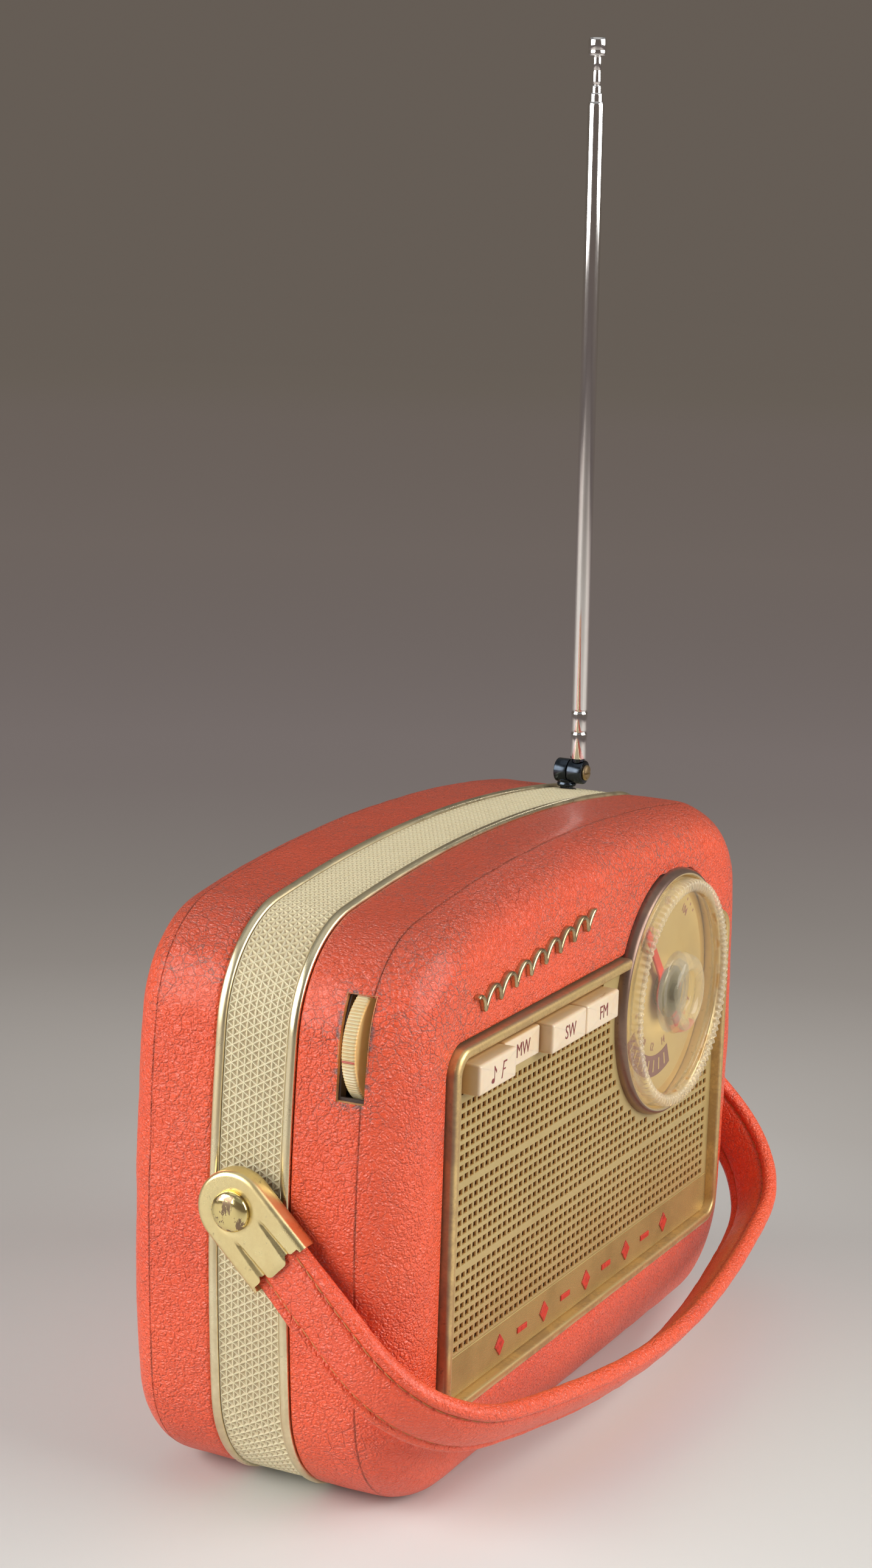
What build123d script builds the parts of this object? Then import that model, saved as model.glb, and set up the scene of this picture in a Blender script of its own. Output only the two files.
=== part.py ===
from build123d import *
import math
import os

# Portable transistor radio: two leather-covered shells on a central band, with a swing
# strap handle, four push keys, tuning dial, edge volume wheel and telescopic aerial.
# Millimetres: +Z is up, the front faces -Y, origin at the bottom centre of the band.

# ---------------------------------------------------------------- shared dimensions
HALF_WIDTH = 125.0
TOP_Z = 177.6               # crest of the case
SIDE_BOW_R = 535.0
TOP_BOW_R = 659.0
UPPER_CORNER_R = 33.7
LOWER_CORNER_R = 35.9
FRONT, BACK = -1, 1         # direction of each shell along Y
FRONT_Y, FRONT_ROUND = -48.0, 18.0
BACK_Y, BACK_ROUND = 42.25, 12.5
FACES = {FRONT: (FRONT_Y, FRONT_ROUND), BACK: (BACK_Y, BACK_ROUND)}
LEATHER = 1.2
SHELL_WALL = 3.2
FIT = 0.05                  # gap between parts that sit against each other
CASE_INSET = LEATHER + FIT
INNER_INSET = CASE_INSET + SHELL_WALL
INNER_FRONT_Y = FRONT_Y + INNER_INSET

BAND_HALF = 9.75            # half the depth of the band
BAND_WALL = 3.0
TRIM_DEPTH = 3.0
TRIM_PROUD = 0.8
TRIM_ROUND = 1.15
SEAM = BAND_HALF + TRIM_DEPTH + FIT      # distance of each shell's edge from y = 0

BEZEL_X = 100.5             # half width of the bezel
BEZEL_Z0, BEZEL_Z1 = 29.0, 137.0
BEZEL_BAR = 3.2
BEZEL_PROUD = 3.0
BEZEL_R = 8.0
BEZEL_SEAT_Y = -46.2
DIAL_SEAT_Y = -44.9
FRONT_CUT = (-60.0, -40.0)  # y range of cutters that pass through the front face

DIAL_X, DIAL_Z = DIAL = (54.0, 118.3)
RING_R = 39.8
SPEAKER_X, SPEAKER_Z = SPEAKER = (-32.0, 77.0)
SPEAKER_R = 39.0
WHEEL = (-108.5, 139.5)     # x, z of the volume wheel
WHEEL_R = 17.5
PIVOT_Y, PIVOT_Z = PIVOT = (0.5, 92.2)   # axis of the handle pivots
AERIAL_X, AERIAL_Z = AERIAL = (89.7, 177.4)
POST_Y = 5.9                # vertical axis of the aerial swivel

KEY_NAMES = ("tone_key", "mw_key", "sw_key", "fm_key")
KEY_PITCH = 23.85
KEY_WIDTH = 23.3
KEY_X0 = -91.0              # left end of the key row
KEY_X1 = KEY_X0 + len(KEY_NAMES) * KEY_PITCH
KEY_Z0, KEY_Z1 = 122.5, 131.5

BOARD_Y0, BOARD_Y1 = 4.0, 5.6
POST_END_Y = BOARD_Y0 - 0.1     # back end of supports that reach to the board
MOUNT_Y = BOARD_Y1 + FIT        # where components stand on the back of the board
BOARD_SCREWS = ((-96, 22), (96, 22), (-78, 150), (78, 150))     # x, z
COIN_SCREWS = ((-84.0, 26.0), (84.0, 26.0))                     # x, z, back cover
SPEAKER_SCREWS = [(SPEAKER_X + 31 * right, SPEAKER_Z + 31 * up)
                  for up in (-1, 1) for right in (-1, 1)]


# ---------------------------------------------------------------- basic shapes
def prism(sketch, y0, y1):
    """Solid of an X/Z sketch between y0 and y1, with y0 < y1."""
    plane = Plane(origin=(0, y1, 0), x_dir=(1, 0, 0), z_dir=(0, -1, 0))
    return extrude(plane * sketch, amount=y1 - y0)


def slab(x0, x1, y0, y1, z0, z1):
    centre = Pos((x0 + x1) / 2, (y0 + y1) / 2, (z0 + z1) / 2)
    return centre * Box(x1 - x0, y1 - y0, z1 - z0)


def bar_y(x, z, half_x, half_z, y0, y1):
    return slab(x - half_x, x + half_x, y0, y1, z - half_z, z + half_z)


def rod_y(x, z, radius, y0, y1):
    return Pos(x, (y0 + y1) / 2, z) * Rot(90, 0, 0) * Cylinder(radius, y1 - y0)


def rod_x(y, z, radius, x0, x1):
    return Pos((x0 + x1) / 2, y, z) * Rot(0, 90, 0) * Cylinder(radius, x1 - x0)


def post_rod(radius, z0, z1):
    """Upright cylinder on the axis of the aerial swivel."""
    return Pos(AERIAL_X, POST_Y, (z0 + z1) / 2) * Cylinder(radius, z1 - z0)


def pivot_rod(side, radius, x0, x1):
    """Cylinder on the handle pivot axis; x0 and x1 are distances from x = 0."""
    return rod_x(*PIVOT, radius, *sorted((side * x0, side * x1)))


def turned_y(x, z, profile):
    """Solid of revolution about a line along Y; profile points are (radius, y)."""
    plane = Plane(origin=(x, 0, z), x_dir=(1, 0, 0), z_dir=(0, 0, 1))
    sketch = plane * make_face(Polyline(*profile, close=True))
    return revolve(sketch, Axis((x, 0, z), (0, 1, 0)), 360)


def rounded_rect(x0, x1, z0, z1, radius):
    return Pos((x0 + x1) / 2, (z0 + z1) / 2) * RectangleRounded(x1 - x0, z1 - z0, radius)


def disc(x, z, radius):
    return Pos(x, z) * Circle(radius)


def unit(vector):
    length = math.hypot(*vector)
    return (vector[0] / length, vector[1] / length)


def ribbon(points, half_widths):
    """Face that runs along points, half_widths to either side."""
    left, right = [], []
    for i, ((x, y), half) in enumerate(zip(points, half_widths)):
        before = points[max(0, i - 1)]
        after = points[min(len(points) - 1, i + 1)]
        along_x, along_y = unit((after[0] - before[0], after[1] - before[1]))
        left.append((x - along_y * half, y + along_x * half))
        right.append((x + along_y * half, y - along_x * half))
    return make_face([Spline(*left), Line(left[-1], right[-1]),
                      Spline(*right[::-1]), Line(right[0], left[0])])


def edges_at(part, axis, position):
    return part.edges().filter_by_position(axis, position - 0.01, position + 0.01)


def fused(shapes):
    total, *others = shapes
    for shape in others:
        total += shape
    return total


# ---------------------------------------------------------------- case outline
def meeting_point(centre0, r0, centre1, r1):
    """Intersection with the larger x of two circles."""
    dx, dz = centre1[0] - centre0[0], centre1[1] - centre0[1]
    gap = math.hypot(dx, dz)
    reach = (r0 * r0 - r1 * r1 + gap * gap) / (2 * gap)
    height = math.sqrt(r0 * r0 - reach * reach)
    foot_x, foot_z = centre0[0] + reach * dx / gap, centre0[1] + reach * dz / gap
    shift_x, shift_z = height * dz / gap, height * dx / gap
    return max((foot_x + shift_x, foot_z - shift_z), (foot_x - shift_x, foot_z + shift_z))


# Arc centres on the right half, as (x, z)
SIDE_CENTRE = (HALF_WIDTH - SIDE_BOW_R, TOP_Z / 2)
TOP_CENTRE = (0.0, TOP_Z - TOP_BOW_R)
UPPER_CENTRE = meeting_point(SIDE_CENTRE, SIDE_BOW_R - UPPER_CORNER_R,
                             TOP_CENTRE, TOP_BOW_R - UPPER_CORNER_R)
LOWER_CENTRE = (SIDE_CENTRE[0] + math.sqrt((SIDE_BOW_R - LOWER_CORNER_R) ** 2
                                           - (LOWER_CORNER_R - SIDE_CENTRE[1]) ** 2),
                LOWER_CORNER_R)


def toward(centre, target, distance):
    direction = unit((target[0] - centre[0], target[1] - centre[1]))
    return (centre[0] + distance * direction[0], centre[1] + distance * direction[1])


def arc_middle(centre, start, end, radius):
    target = (start[0] + end[0] - centre[0], start[1] + end[1] - centre[1])
    return toward(centre, target, radius)


def flip(point):
    return (-point[0], point[1])


def outline(inset):
    """Case outline in X and Z, moved inward by inset."""
    side_r, top_r = SIDE_BOW_R - inset, TOP_BOW_R - inset
    bottom = (LOWER_CENTRE[0], inset)
    side_low = toward(SIDE_CENTRE, LOWER_CENTRE, side_r)
    side_high = toward(SIDE_CENTRE, UPPER_CENTRE, side_r)
    top_end = toward(TOP_CENTRE, UPPER_CENTRE, top_r)
    lower = arc_middle(LOWER_CENTRE, bottom, side_low, LOWER_CORNER_R - inset)
    upper = arc_middle(UPPER_CENTRE, side_high, top_end, UPPER_CORNER_R - inset)
    right_arcs = [(bottom, lower, side_low),
                  (side_low, (SIDE_CENTRE[0] + side_r, SIDE_CENTRE[1]), side_high),
                  (side_high, upper, top_end)]
    curves = [Line(flip(bottom), bottom)]
    curves += [ThreePointArc(*arc) for arc in right_arcs]
    curves.append(ThreePointArc(top_end, (0.0, TOP_CENTRE[1] + top_r), flip(top_end)))
    curves += [ThreePointArc(flip(end), flip(middle), flip(start))
               for start, middle, end in reversed(right_arcs)]
    return make_face(curves)


# ---------------------------------------------------------------- case shells
def pillow(side, inset, seam):
    """Block from the seam to the front or back face, with its face edge rounded."""
    face_y, rounding = FACES[side]
    face_y -= side * inset
    block = prism(outline(inset), *sorted((side * seam, face_y)))
    return fillet(edges_at(block, Axis.Y, face_y), rounding - inset)


def shell(side, outer_inset, inner_inset):
    return pillow(side, outer_inset, SEAM) - pillow(side, inner_inset, SEAM - 1)


def bezel_rect(inset, radius):
    return rounded_rect(-BEZEL_X + inset, BEZEL_X - inset,
                        BEZEL_Z0 + inset, BEZEL_Z1 - inset, radius)


def bezel_opening():
    clearance = 0.5
    return bezel_rect(-clearance, BEZEL_R + clearance)


def volume_slot():
    """Cutter through the left side, where the volume wheel shows."""
    return slab(-140, -113, -38.2, -26.5, 126.6, 157.0)


def front_leather():
    skin = shell(FRONT, 0, LEATHER)
    skin -= prism(bezel_opening(), *FRONT_CUT)
    skin -= prism(disc(*DIAL, RING_R + 0.2), *FRONT_CUT)
    skin -= volume_slot()
    return skin


def front_case():
    case = shell(FRONT, CASE_INSET, INNER_INSET)
    case -= prism(bezel_opening(), -60, BEZEL_SEAT_Y)
    case -= prism(disc(*DIAL, RING_R + 0.2), -60, DIAL_SEAT_Y)
    case -= prism(disc(*SPEAKER, SPEAKER_R - 4), *FRONT_CUT)
    key_opening = rounded_rect(KEY_X0 - 0.9, KEY_X1 + 0.4, KEY_Z0 - 0.7, KEY_Z1 + 0.7, 1.0)
    case -= prism(key_opening, *FRONT_CUT)
    case -= rod_y(*DIAL, 5.05, *FRONT_CUT)
    case -= volume_slot()
    case -= rod_y(*WHEEL, WHEEL_R + 0.9, -36.2, -26.5)
    post_start = INNER_FRONT_Y - 0.4        # posts are rooted in the wall
    for x, z in BOARD_SCREWS:
        case += rod_y(x, z, 4.0, post_start, POST_END_Y)
        case -= rod_y(x, z, 1.55, -12, 5)
    for x, z in SPEAKER_SCREWS:
        case += rod_y(x, z, 3.2, post_start, INNER_FRONT_Y + 3)
        case -= rod_y(x, z, 1.25, -43, -30)
    return case


COIN_RECESS_R = 6.3


def back_leather():
    skin = shell(BACK, 0, LEATHER)
    for x, z in COIN_SCREWS:
        skin -= rod_y(x, z, COIN_RECESS_R, 30, 50)
    return skin


def back_case():
    case = shell(BACK, CASE_INSET, INNER_INSET)
    for x, z in COIN_SCREWS:
        case -= rod_y(x, z, COIN_RECESS_R, BACK_Y - 2.4, 50)
        case -= rod_y(x, z, 2.3, 20, 50)
    return case


def coin_screw(x, z):
    screw = rod_y(x, z, 6.0, BACK_Y - 2.3, BACK_Y + 0.3)
    screw += rod_y(x, z, 2.0, -2.0, BACK_Y - 2.2)
    return screw - bar_y(x, z, 7, 0.9, BACK_Y - 1.0, BACK_Y + 1)


def back_cover_screws():
    return fused(coin_screw(x, z) for x, z in COIN_SCREWS)


# ---------------------------------------------------------------- band and trims
def band_inside():
    return prism(outline(BAND_WALL), -20, 20)


def below_base():
    return slab(-200, 200, -20, 20, -5, 0)


def centre_band():
    band = prism(outline(0), -BAND_HALF, BAND_HALF) - band_inside()
    for x, z in COIN_SCREWS:                # screw bosses on webs from the floor
        band += rod_y(x, z, 5.0, -BAND_HALF, BAND_HALF)
        band += slab(x - 1.6, x + 1.6, -BAND_HALF, BAND_HALF, 2.0, z - 4)
        band -= rod_y(x, z, 2.1, -4, 20)
    for side in (-1, 1):                    # handle pivot bosses
        band += pivot_rod(side, 7.0, 119.0, 123.0)
        band -= pivot_rod(side, 3.05, 110.0, 130.0)
    boss = post_rod(4.8, 160.5, 170.0)
    band += boss & slab(0, 200, -BAND_HALF, BAND_HALF, 150, 180)
    band -= post_rod(3.25, 150, 190)
    band -= below_base()
    return band


def trim_hoop(y0, y1):
    hoop = prism(outline(-TRIM_PROUD), y0, y1)
    hoop = fillet(edges_at(hoop, Axis.Y, y0) + edges_at(hoop, Axis.Y, y1), TRIM_ROUND)
    hoop -= band_inside()
    hoop -= below_base()
    return hoop


def front_trim():
    return trim_hoop(-BAND_HALF - TRIM_DEPTH, -BAND_HALF - FIT)


def rear_trim():
    return trim_hoop(BAND_HALF + FIT, BAND_HALF + TRIM_DEPTH)


# ---------------------------------------------------------------- front panel
PANEL_BACK_Y = -46.3        # back of the cloth and nameplate
NAME_TOP = 45.0             # the nameplate lies below this, the grille above
ROW_Z0, ROW_PITCH = 46.6, 3.05      # openings of the grille mesh
ROW_HALF = 0.97
SECTIONS, SECTION_ROWS = 3, 8
SECTION_BAR = 0.96          # extra bar between sections of rows
COLUMNS = 8
COLUMN_X0, COLUMN_PITCH, OPENING_W = -93.9, 23.5, 22.9


def dial_hole():
    return disc(*DIAL, RING_R + 0.15)


def panel_area():
    return bezel_rect(BEZEL_BAR + FIT, BEZEL_R - BEZEL_BAR)


def front_bezel():
    face_y = FRONT_Y - BEZEL_PROUD
    bezel = prism(bezel_rect(0, BEZEL_R), face_y, BEZEL_SEAT_Y - FIT)
    bezel = fillet(edges_at(bezel, Axis.Y, face_y), 1.5)
    bezel -= prism(bezel_rect(BEZEL_BAR, BEZEL_R - BEZEL_BAR), *FRONT_CUT)
    bezel -= prism(dial_hole(), *FRONT_CUT)
    return bezel


def grille():
    below = Pos(0, NAME_TOP / 2) * Rectangle(300, NAME_TOP)
    mesh = prism(panel_area() - below - dial_hole(), -47.6, -46.8)
    mesh -= slab(KEY_X0 - 0.5, KEY_X1, *FRONT_CUT, KEY_Z0 - 0.35, KEY_Z1 + 0.35)
    for row in range(SECTIONS * SECTION_ROWS):
        z = ROW_Z0 + row * ROW_PITCH + row // SECTION_ROWS * SECTION_BAR
        for column in range(COLUMNS):
            x0 = COLUMN_X0 + column * COLUMN_PITCH
            x1 = x0 + OPENING_W
            near = 0 if x0 < DIAL_X < x1 else min(abs(x0 - DIAL_X), abs(x1 - DIAL_X))
            if math.hypot(near, z - DIAL_Z) > RING_R + 1.5:     # clear of the dial
                mesh -= slab(x0, x1, -50, -45, z - ROW_HALF, z + ROW_HALF)
    return mesh


def grille_cloth():
    cloth = rounded_rect(-92, 92, 46, 119.5, 3) - disc(*DIAL, RING_R + 0.6)
    return prism(cloth, -46.75, PANEL_BACK_Y)


def nameplate():
    middle_z = 30
    strip = Pos(0, middle_z) * Rectangle(300, 2 * (NAME_TOP - middle_z - FIT))
    return prism(panel_area() & strip, -47.9, PANEL_BACK_Y)


def front_ornament():
    """Wavy ribbon above the keys that rises to the right."""
    steps, waves, wave_height, half_width = 36, 4.0, 2.6, 0.8
    points = []
    for i in range(steps + 1):
        t = i / steps
        wave = wave_height * math.sin(t * 2 * math.pi * waves)
        points.append((-86.0 + 78.0 * t, 146.5 + 9.5 * t + wave))
    return prism(ribbon(points, [half_width] * len(points)), FRONT_Y - 1.9, FRONT_Y - FIT)


# ---------------------------------------------------------------- keys
KEY_FRONT_Y = -53.4         # front of a key that is out
KEY_TRAVEL = 4.0
PUSHED_KEY = "mw_key"
STEM_HALF_X, STEM_HALF_Z = 3.0, 1.5


def key_stem(index, y0, y1, gap=0.0):
    x = KEY_X0 + index * KEY_PITCH + KEY_WIDTH / 2
    return bar_y(x, (KEY_Z0 + KEY_Z1) / 2, STEM_HALF_X + gap, STEM_HALF_Z + gap, y0, y1)


def key(index, name):
    x0 = KEY_X0 + index * KEY_PITCH
    push = KEY_TRAVEL if name == PUSHED_KEY else 0.0
    front_y = KEY_FRONT_Y + push
    head = slab(x0, x0 + KEY_WIDTH, front_y, -41.5 + push, KEY_Z0, KEY_Z1)
    if name == "fm_key":                    # tucked behind the dial ring
        head -= rod_y(*DIAL, RING_R + 0.5, -60, -30)
    head = fillet(edges_at(head, Axis.Y, front_y), 0.9)
    return head + key_stem(index, -41.6 + push, -27 + push)


def key_switch():
    bank = slab(KEY_X0 - 0.3, KEY_X1 + 1, -35.5, -24.0, 120.0, 134.0)
    for index in range(len(KEY_NAMES)):
        bank -= key_stem(index, -40, -20, gap=0.15)
    for x in (KEY_X0 + 2, KEY_X1 - 2):      # mounting ears reach back to the board
        bank += slab(x - 2, x + 2, -24.1, POST_END_Y, 131.0, 134.0)
    return bank


# ---------------------------------------------------------------- tuning dial
RING_INNER_R = 37.4
DIAL_BACK_Y = DIAL_SEAT_Y - FIT
SHAFT_HOLE_R = 3.0
POINTER_ANGLE = 128         # degrees from +X towards +Z
POINTER_HUB_R = 7.6
POINTER_ARM = ((6.0, 1.9), (29.0, 1.5), (29.0, -1.5), (6.0, -1.9))          # reach, side
POINTER_TAIL = ((-6.0, -1.9), (-17.5, -1.7), (-17.5, 1.7), (-6.0, 1.9))     # reach, side

RING_PROFILE = [            # radius, y
    (RING_INNER_R, DIAL_BACK_Y), (RING_R, DIAL_BACK_Y), (RING_R, -48.2), (38.9, -50.7),
    (38.4, -51.0), (37.9, -51.0), (RING_INNER_R, -50.6)]
KNOB_PROFILE = [            # radius, y
    (0, -50.9), (9.0, -50.9), (9.0, -50.3), (34.3, -50.3), (35.2, -48.9), (37.0, -48.9),
    (36.2, -54.2), (35.8, -54.6), (33.1, -54.6), (32.5, -54.0), (32.2, -52.0),
    (13.2, -52.0), (12.5, -54.6), (11.7, -56.0), (10.5, -56.6), (8.7, -56.6),
    (7.6, -55.9), (7.1, -54.6), (6.4, -53.6), (0, -53.4)]
BUSH_PROFILE = [            # radius, y
    (SHAFT_HOLE_R, -46.6), (5.0, -46.6), (5.0, -43.4), (7.5, -43.4), (7.5, -40.0),
    (SHAFT_HOLE_R, -40.0)]


def dial_ring():
    return turned_y(*DIAL, RING_PROFILE)


def dial_scale():
    return prism(disc(*DIAL, RING_INNER_R - 0.1) - disc(*DIAL, 5.1), -45.7, DIAL_BACK_Y)


def tuning_knob():
    return turned_y(*DIAL, KNOB_PROFILE) - rod_y(*DIAL, SHAFT_HOLE_R, -52.2, -40)


def tuning_shaft():
    """Shaft with the flange that carries the knob."""
    shaft = rod_y(*DIAL, SHAFT_HOLE_R - FIT, -52.1, -27.0)
    return shaft + rod_y(*DIAL, 8.4, -50.2, -48.6)


def tuning_bush():
    return turned_y(*DIAL, BUSH_PROFILE)


def pointer_blade(corners):
    angle = math.radians(POINTER_ANGLE)
    dir_x, dir_z = math.cos(angle), math.sin(angle)
    points = [(DIAL_X + dir_x * reach - dir_z * side, DIAL_Z + dir_z * reach + dir_x * side)
              for reach, side in corners]
    return make_face(Polyline(*points, close=True))


def dial_pointer():
    blades = pointer_blade(POINTER_ARM) + pointer_blade(POINTER_TAIL)
    pointer = prism(blades + disc(*DIAL, POINTER_HUB_R), -48.5, -47.7)
    return pointer - rod_y(*DIAL, SHAFT_HOLE_R, *FRONT_CUT)


# ---------------------------------------------------------------- tuning drive
TUNER_X, TUNER_Z = TUNER = (DIAL_X, 82.0)       # tuning capacitor axis
DRIVE_R, TUNER_DRUM_R = 9.0, 15.0
PLATE_PITCH, PLATE_T = 3.4, 0.6


def drum(centre, bore_r, radius):
    """Grooved drum; radius is that of the groove floor."""
    rim_r = radius + 1.8
    return turned_y(*centre, [
        (bore_r, -36.2), (rim_r, -36.2), (rim_r, -35.4), (radius, -34.9), (radius, -32.9),
        (rim_r, -32.4), (rim_r, -31.6), (bore_r, -31.6)])


def drive_drum():
    return drum(DIAL, SHAFT_HOLE_R, DRIVE_R)


def capacitor_drum():
    return drum(TUNER, 2.5, TUNER_DRUM_R)


def loop_face(gap):
    """Region inside a loop around both drums, gap outside their grooves."""
    upper_r, lower_r = DRIVE_R + gap, TUNER_DRUM_R + gap
    sine = (lower_r - upper_r) / (DIAL_Z - TUNER_Z)
    cosine = math.sqrt(1 - sine * sine)
    upper_z, lower_z = DIAL_Z + upper_r * sine, TUNER_Z + lower_r * sine
    upper_right = (DIAL_X + upper_r * cosine, upper_z)
    lower_right = (TUNER_X + lower_r * cosine, lower_z)
    upper_left = (DIAL_X - upper_r * cosine, upper_z)
    lower_left = (TUNER_X - lower_r * cosine, lower_z)
    return make_face([
        Line(lower_right, upper_right),
        ThreePointArc(upper_right, (DIAL_X, DIAL_Z + upper_r), upper_left),
        Line(upper_left, lower_left),
        ThreePointArc(lower_left, (TUNER_X, TUNER_Z - lower_r), lower_right)])


def dial_cord():
    return prism(loop_face(0.75) - loop_face(0.08), -34.2, -33.55)


def tuning_capacitor():
    """Open-topped frame with the fixed plates and a foot to the board."""
    frame = slab(TUNER_X - 19, TUNER_X + 19, -28, -6, TUNER_Z - 19, TUNER_Z + 17)
    frame -= slab(TUNER_X - 17, TUNER_X + 17, -26, -8, TUNER_Z - 17, TUNER_Z + 30)
    frame -= rod_y(*TUNER, 2.55, -40, 0)
    for i in range(5):
        y = -24.6 + i * PLATE_PITCH
        sector = disc(*TUNER, 17.5) & (Pos(TUNER_X - 30, TUNER_Z) * Rectangle(51, 60))
        frame += prism(sector, y, y + PLATE_T) - rod_y(*TUNER, 4.2, -40, 0)
    return frame + bar_y(*TUNER, 6, 10, -6.1, POST_END_Y)


def capacitor_plates():
    """Turning half-disc plates on their shaft."""
    rotor = rod_y(*TUNER, 2.45, -37.5, -6.6)
    for i in range(4):
        y = -22.9 + i * PLATE_PITCH
        half_disc = disc(*TUNER, 14.5) & (Pos(TUNER_X, TUNER_Z - 30) * Rectangle(60, 60))
        rotor += prism(half_disc, y, y + PLATE_T)
    return rotor


# ---------------------------------------------------------------- volume control
WHEEL_Y0, WHEEL_Y1 = -32.4, -28.0


def volume_wheel():
    wheel = turned_y(*WHEEL, [
        (2.0, WHEEL_Y0 + 0.6), (WHEEL_R - 1.6, WHEEL_Y0 + 0.6), (WHEEL_R - 0.9, WHEEL_Y0),
        (WHEEL_R - 0.2, WHEEL_Y0 + 0.5), (WHEEL_R, WHEEL_Y0 + 1.2),
        (WHEEL_R, WHEEL_Y1 - 1.0), (WHEEL_R - 0.4, WHEEL_Y1), (2.0, WHEEL_Y1)])
    wheel += rod_y(*WHEEL, 1.95, WHEEL_Y0 - 0.5, -26.0)         # spindle
    wheel += rod_y(*WHEEL, 5.0, WHEEL_Y0 - 0.2, WHEEL_Y0 + 0.8)
    return wheel


def volume_control():
    """Round body on a bracket to the board."""
    body = rod_y(*WHEEL, 9.0, -27.6, -17.5) - rod_y(*WHEEL, 2.0, -40, -25.5)
    body += slab(-103, -92, -21.0, -18.5, 136, 146)
    body += slab(-96, -92, -21.0, POST_END_Y, 136, 146)
    return body


# ---------------------------------------------------------------- handle
HANG = math.radians(43.6)   # the handle hangs this far below the horizontal, in front
REACH_DIR = (0, -math.cos(HANG), -math.sin(HANG))
STRAP_WIDTH = 20.0
STRAP_STATIONS = (          # right half: x, reach from the pivot, thickness
    (130.15, 7.0, 4.2), (130.15, 13.0, 4.2), (130.15, 19.0, 4.2), (130.3, 25.5, 4.7),
    (130.5, 32.3, 6.4), (130.9, 44.9, 7.0), (130.6, 57.4, 7.0), (126.6, 69.2, 7.0),
    (118.0, 79.1, 7.0), (106.4, 86.1, 7.0), (93.9, 90.0, 7.0), (81.4, 92.6, 7.0),
    (62.8, 95.9, 7.0), (44.0, 98.6, 7.0), (25.2, 100.5, 7.0), (0.0, 101.6, 7.0))
CLIP_R = 11.3
CLIP_X = 127.6              # inner side of the clip
CLIP_DEPTH = 6.0
CLIP_WALL = 1.0
STUD_R = 3.0
STUD_HOLE_R = STUD_R + FIT


def handle_strap():
    stations = [(-x, reach, thick) for x, reach, thick in STRAP_STATIONS]
    stations += STRAP_STATIONS[-2::-1]
    centre_line = [(x, reach) for x, reach, thick in stations]
    face = ribbon(centre_line, [thick / 2 for x, reach, thick in stations])
    strap = extrude(face, amount=STRAP_WIDTH / 2, both=True)
    # local x is X, local y the reach, local z across the strap
    plane = Plane(origin=(0, *PIVOT), x_dir=(1, 0, 0),
                  z_dir=(0, math.sin(HANG), -math.cos(HANG)))
    return Location(plane) * strap


def handle_clip(side):
    """Hollow end clip; local x is the reach, local z points away from the case."""
    hollow_r = CLIP_R - CLIP_WALL
    body = Circle(CLIP_R) + Pos(10.5, 0) * Rectangle(21.0, 2 * CLIP_R)
    clip = extrude(body, amount=CLIP_DEPTH)
    clip = fillet(edges_at(clip, Axis.Z, CLIP_DEPTH), 1.3)
    hollow = Circle(hollow_r) + Pos(15, 0) * Rectangle(30.0, 2 * hollow_r)
    clip -= Pos(0, 0, -0.1) * extrude(hollow, amount=5.0)
    clip -= Cylinder(3.45, 30)
    for y in (3.6, -3.6):                   # two grooves in the outer face
        clip -= Pos(16.5, y, 5.5) * Box(10, 1.1, 4)
    plane = Plane(origin=(side * CLIP_X, *PIVOT), x_dir=REACH_DIR, z_dir=(side, 0, 0))
    return plane.location * clip


def left_clip():
    return handle_clip(-1)


def right_clip():
    return handle_clip(1)


def stud(side):
    dome_end = 136.2
    shank = pivot_rod(side, STUD_R, 113.0, 131.6)
    shank += pivot_rod(side, 3.4, 131.5, 133.7)
    dome = pivot_rod(side, 5.85, 133.65, dome_end)
    return shank + fillet(edges_at(dome, Axis.X, side * dome_end), 2.2)


def washer(side):
    return pivot_rod(side, 6.0, 125.2, 128.4) - pivot_rod(side, STUD_HOLE_R, 120.0, 140.0)


def nut(side):
    hexagon = extrude(RegularPolygon(5.6, 6), amount=1.7, both=True)
    placed = Pos(side * 117.2, *PIVOT) * Rot(0, 90, 0) * hexagon
    return placed - pivot_rod(side, STUD_HOLE_R, 100.0, 140.0)


def handle_studs():
    return stud(-1) + stud(1)


def handle_washers_nuts():
    return (washer(-1) + washer(1)) + (nut(-1) + nut(1))


# ---------------------------------------------------------------- aerial
LEAN = 2.0                  # degrees towards -X
AERIAL_LENGTH = 237.0
HINGE = Location((AERIAL_X, 2.0, AERIAL_Z)) * Location((0, 0, 0), (0, -LEAN, 0))


def along(radius, start, end):
    """Cylinder on the leaning aerial axis, between two distances from the hinge."""
    return HINGE * (Pos(0, 0, (start + end) / 2) * Cylinder(radius, end - start))


def aerial_bush():
    bush = post_rod(3.2, 159.0, 171.6) - post_rod(2.25, 150, 190)
    return bush - slab(80, 100, -20, 30, 171.2, 180)


def aerial_swivel():
    swivel = post_rod(2.2, 156.6, 173.4)
    swivel += post_rod(3.2, 172.3, 175.0) + post_rod(4.4, 157.0, 158.6)
    swivel += rod_y(*AERIAL, 4.0, 4.75, 9.3)
    swivel -= rod_y(*AERIAL, 1.25, 0, 20)
    swivel -= rod_y(*AERIAL, 4.1, -5, 4.74)     # room for the foot
    return swivel


def aerial_foot():
    foot = rod_y(*AERIAL, 4.0, -0.6, 4.6) + along(2.15, 1.0, 14.0)
    return foot - rod_y(*AERIAL, 1.3, -10, 20)


def aerial_pivot_screw():
    screw = rod_y(*AERIAL, 1.2, -0.7, 9.2) + rod_y(*AERIAL, 2.6, -1.9, -0.65)
    return screw - bar_y(*AERIAL, 4, 0.35, -2.5, -1.5)


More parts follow.
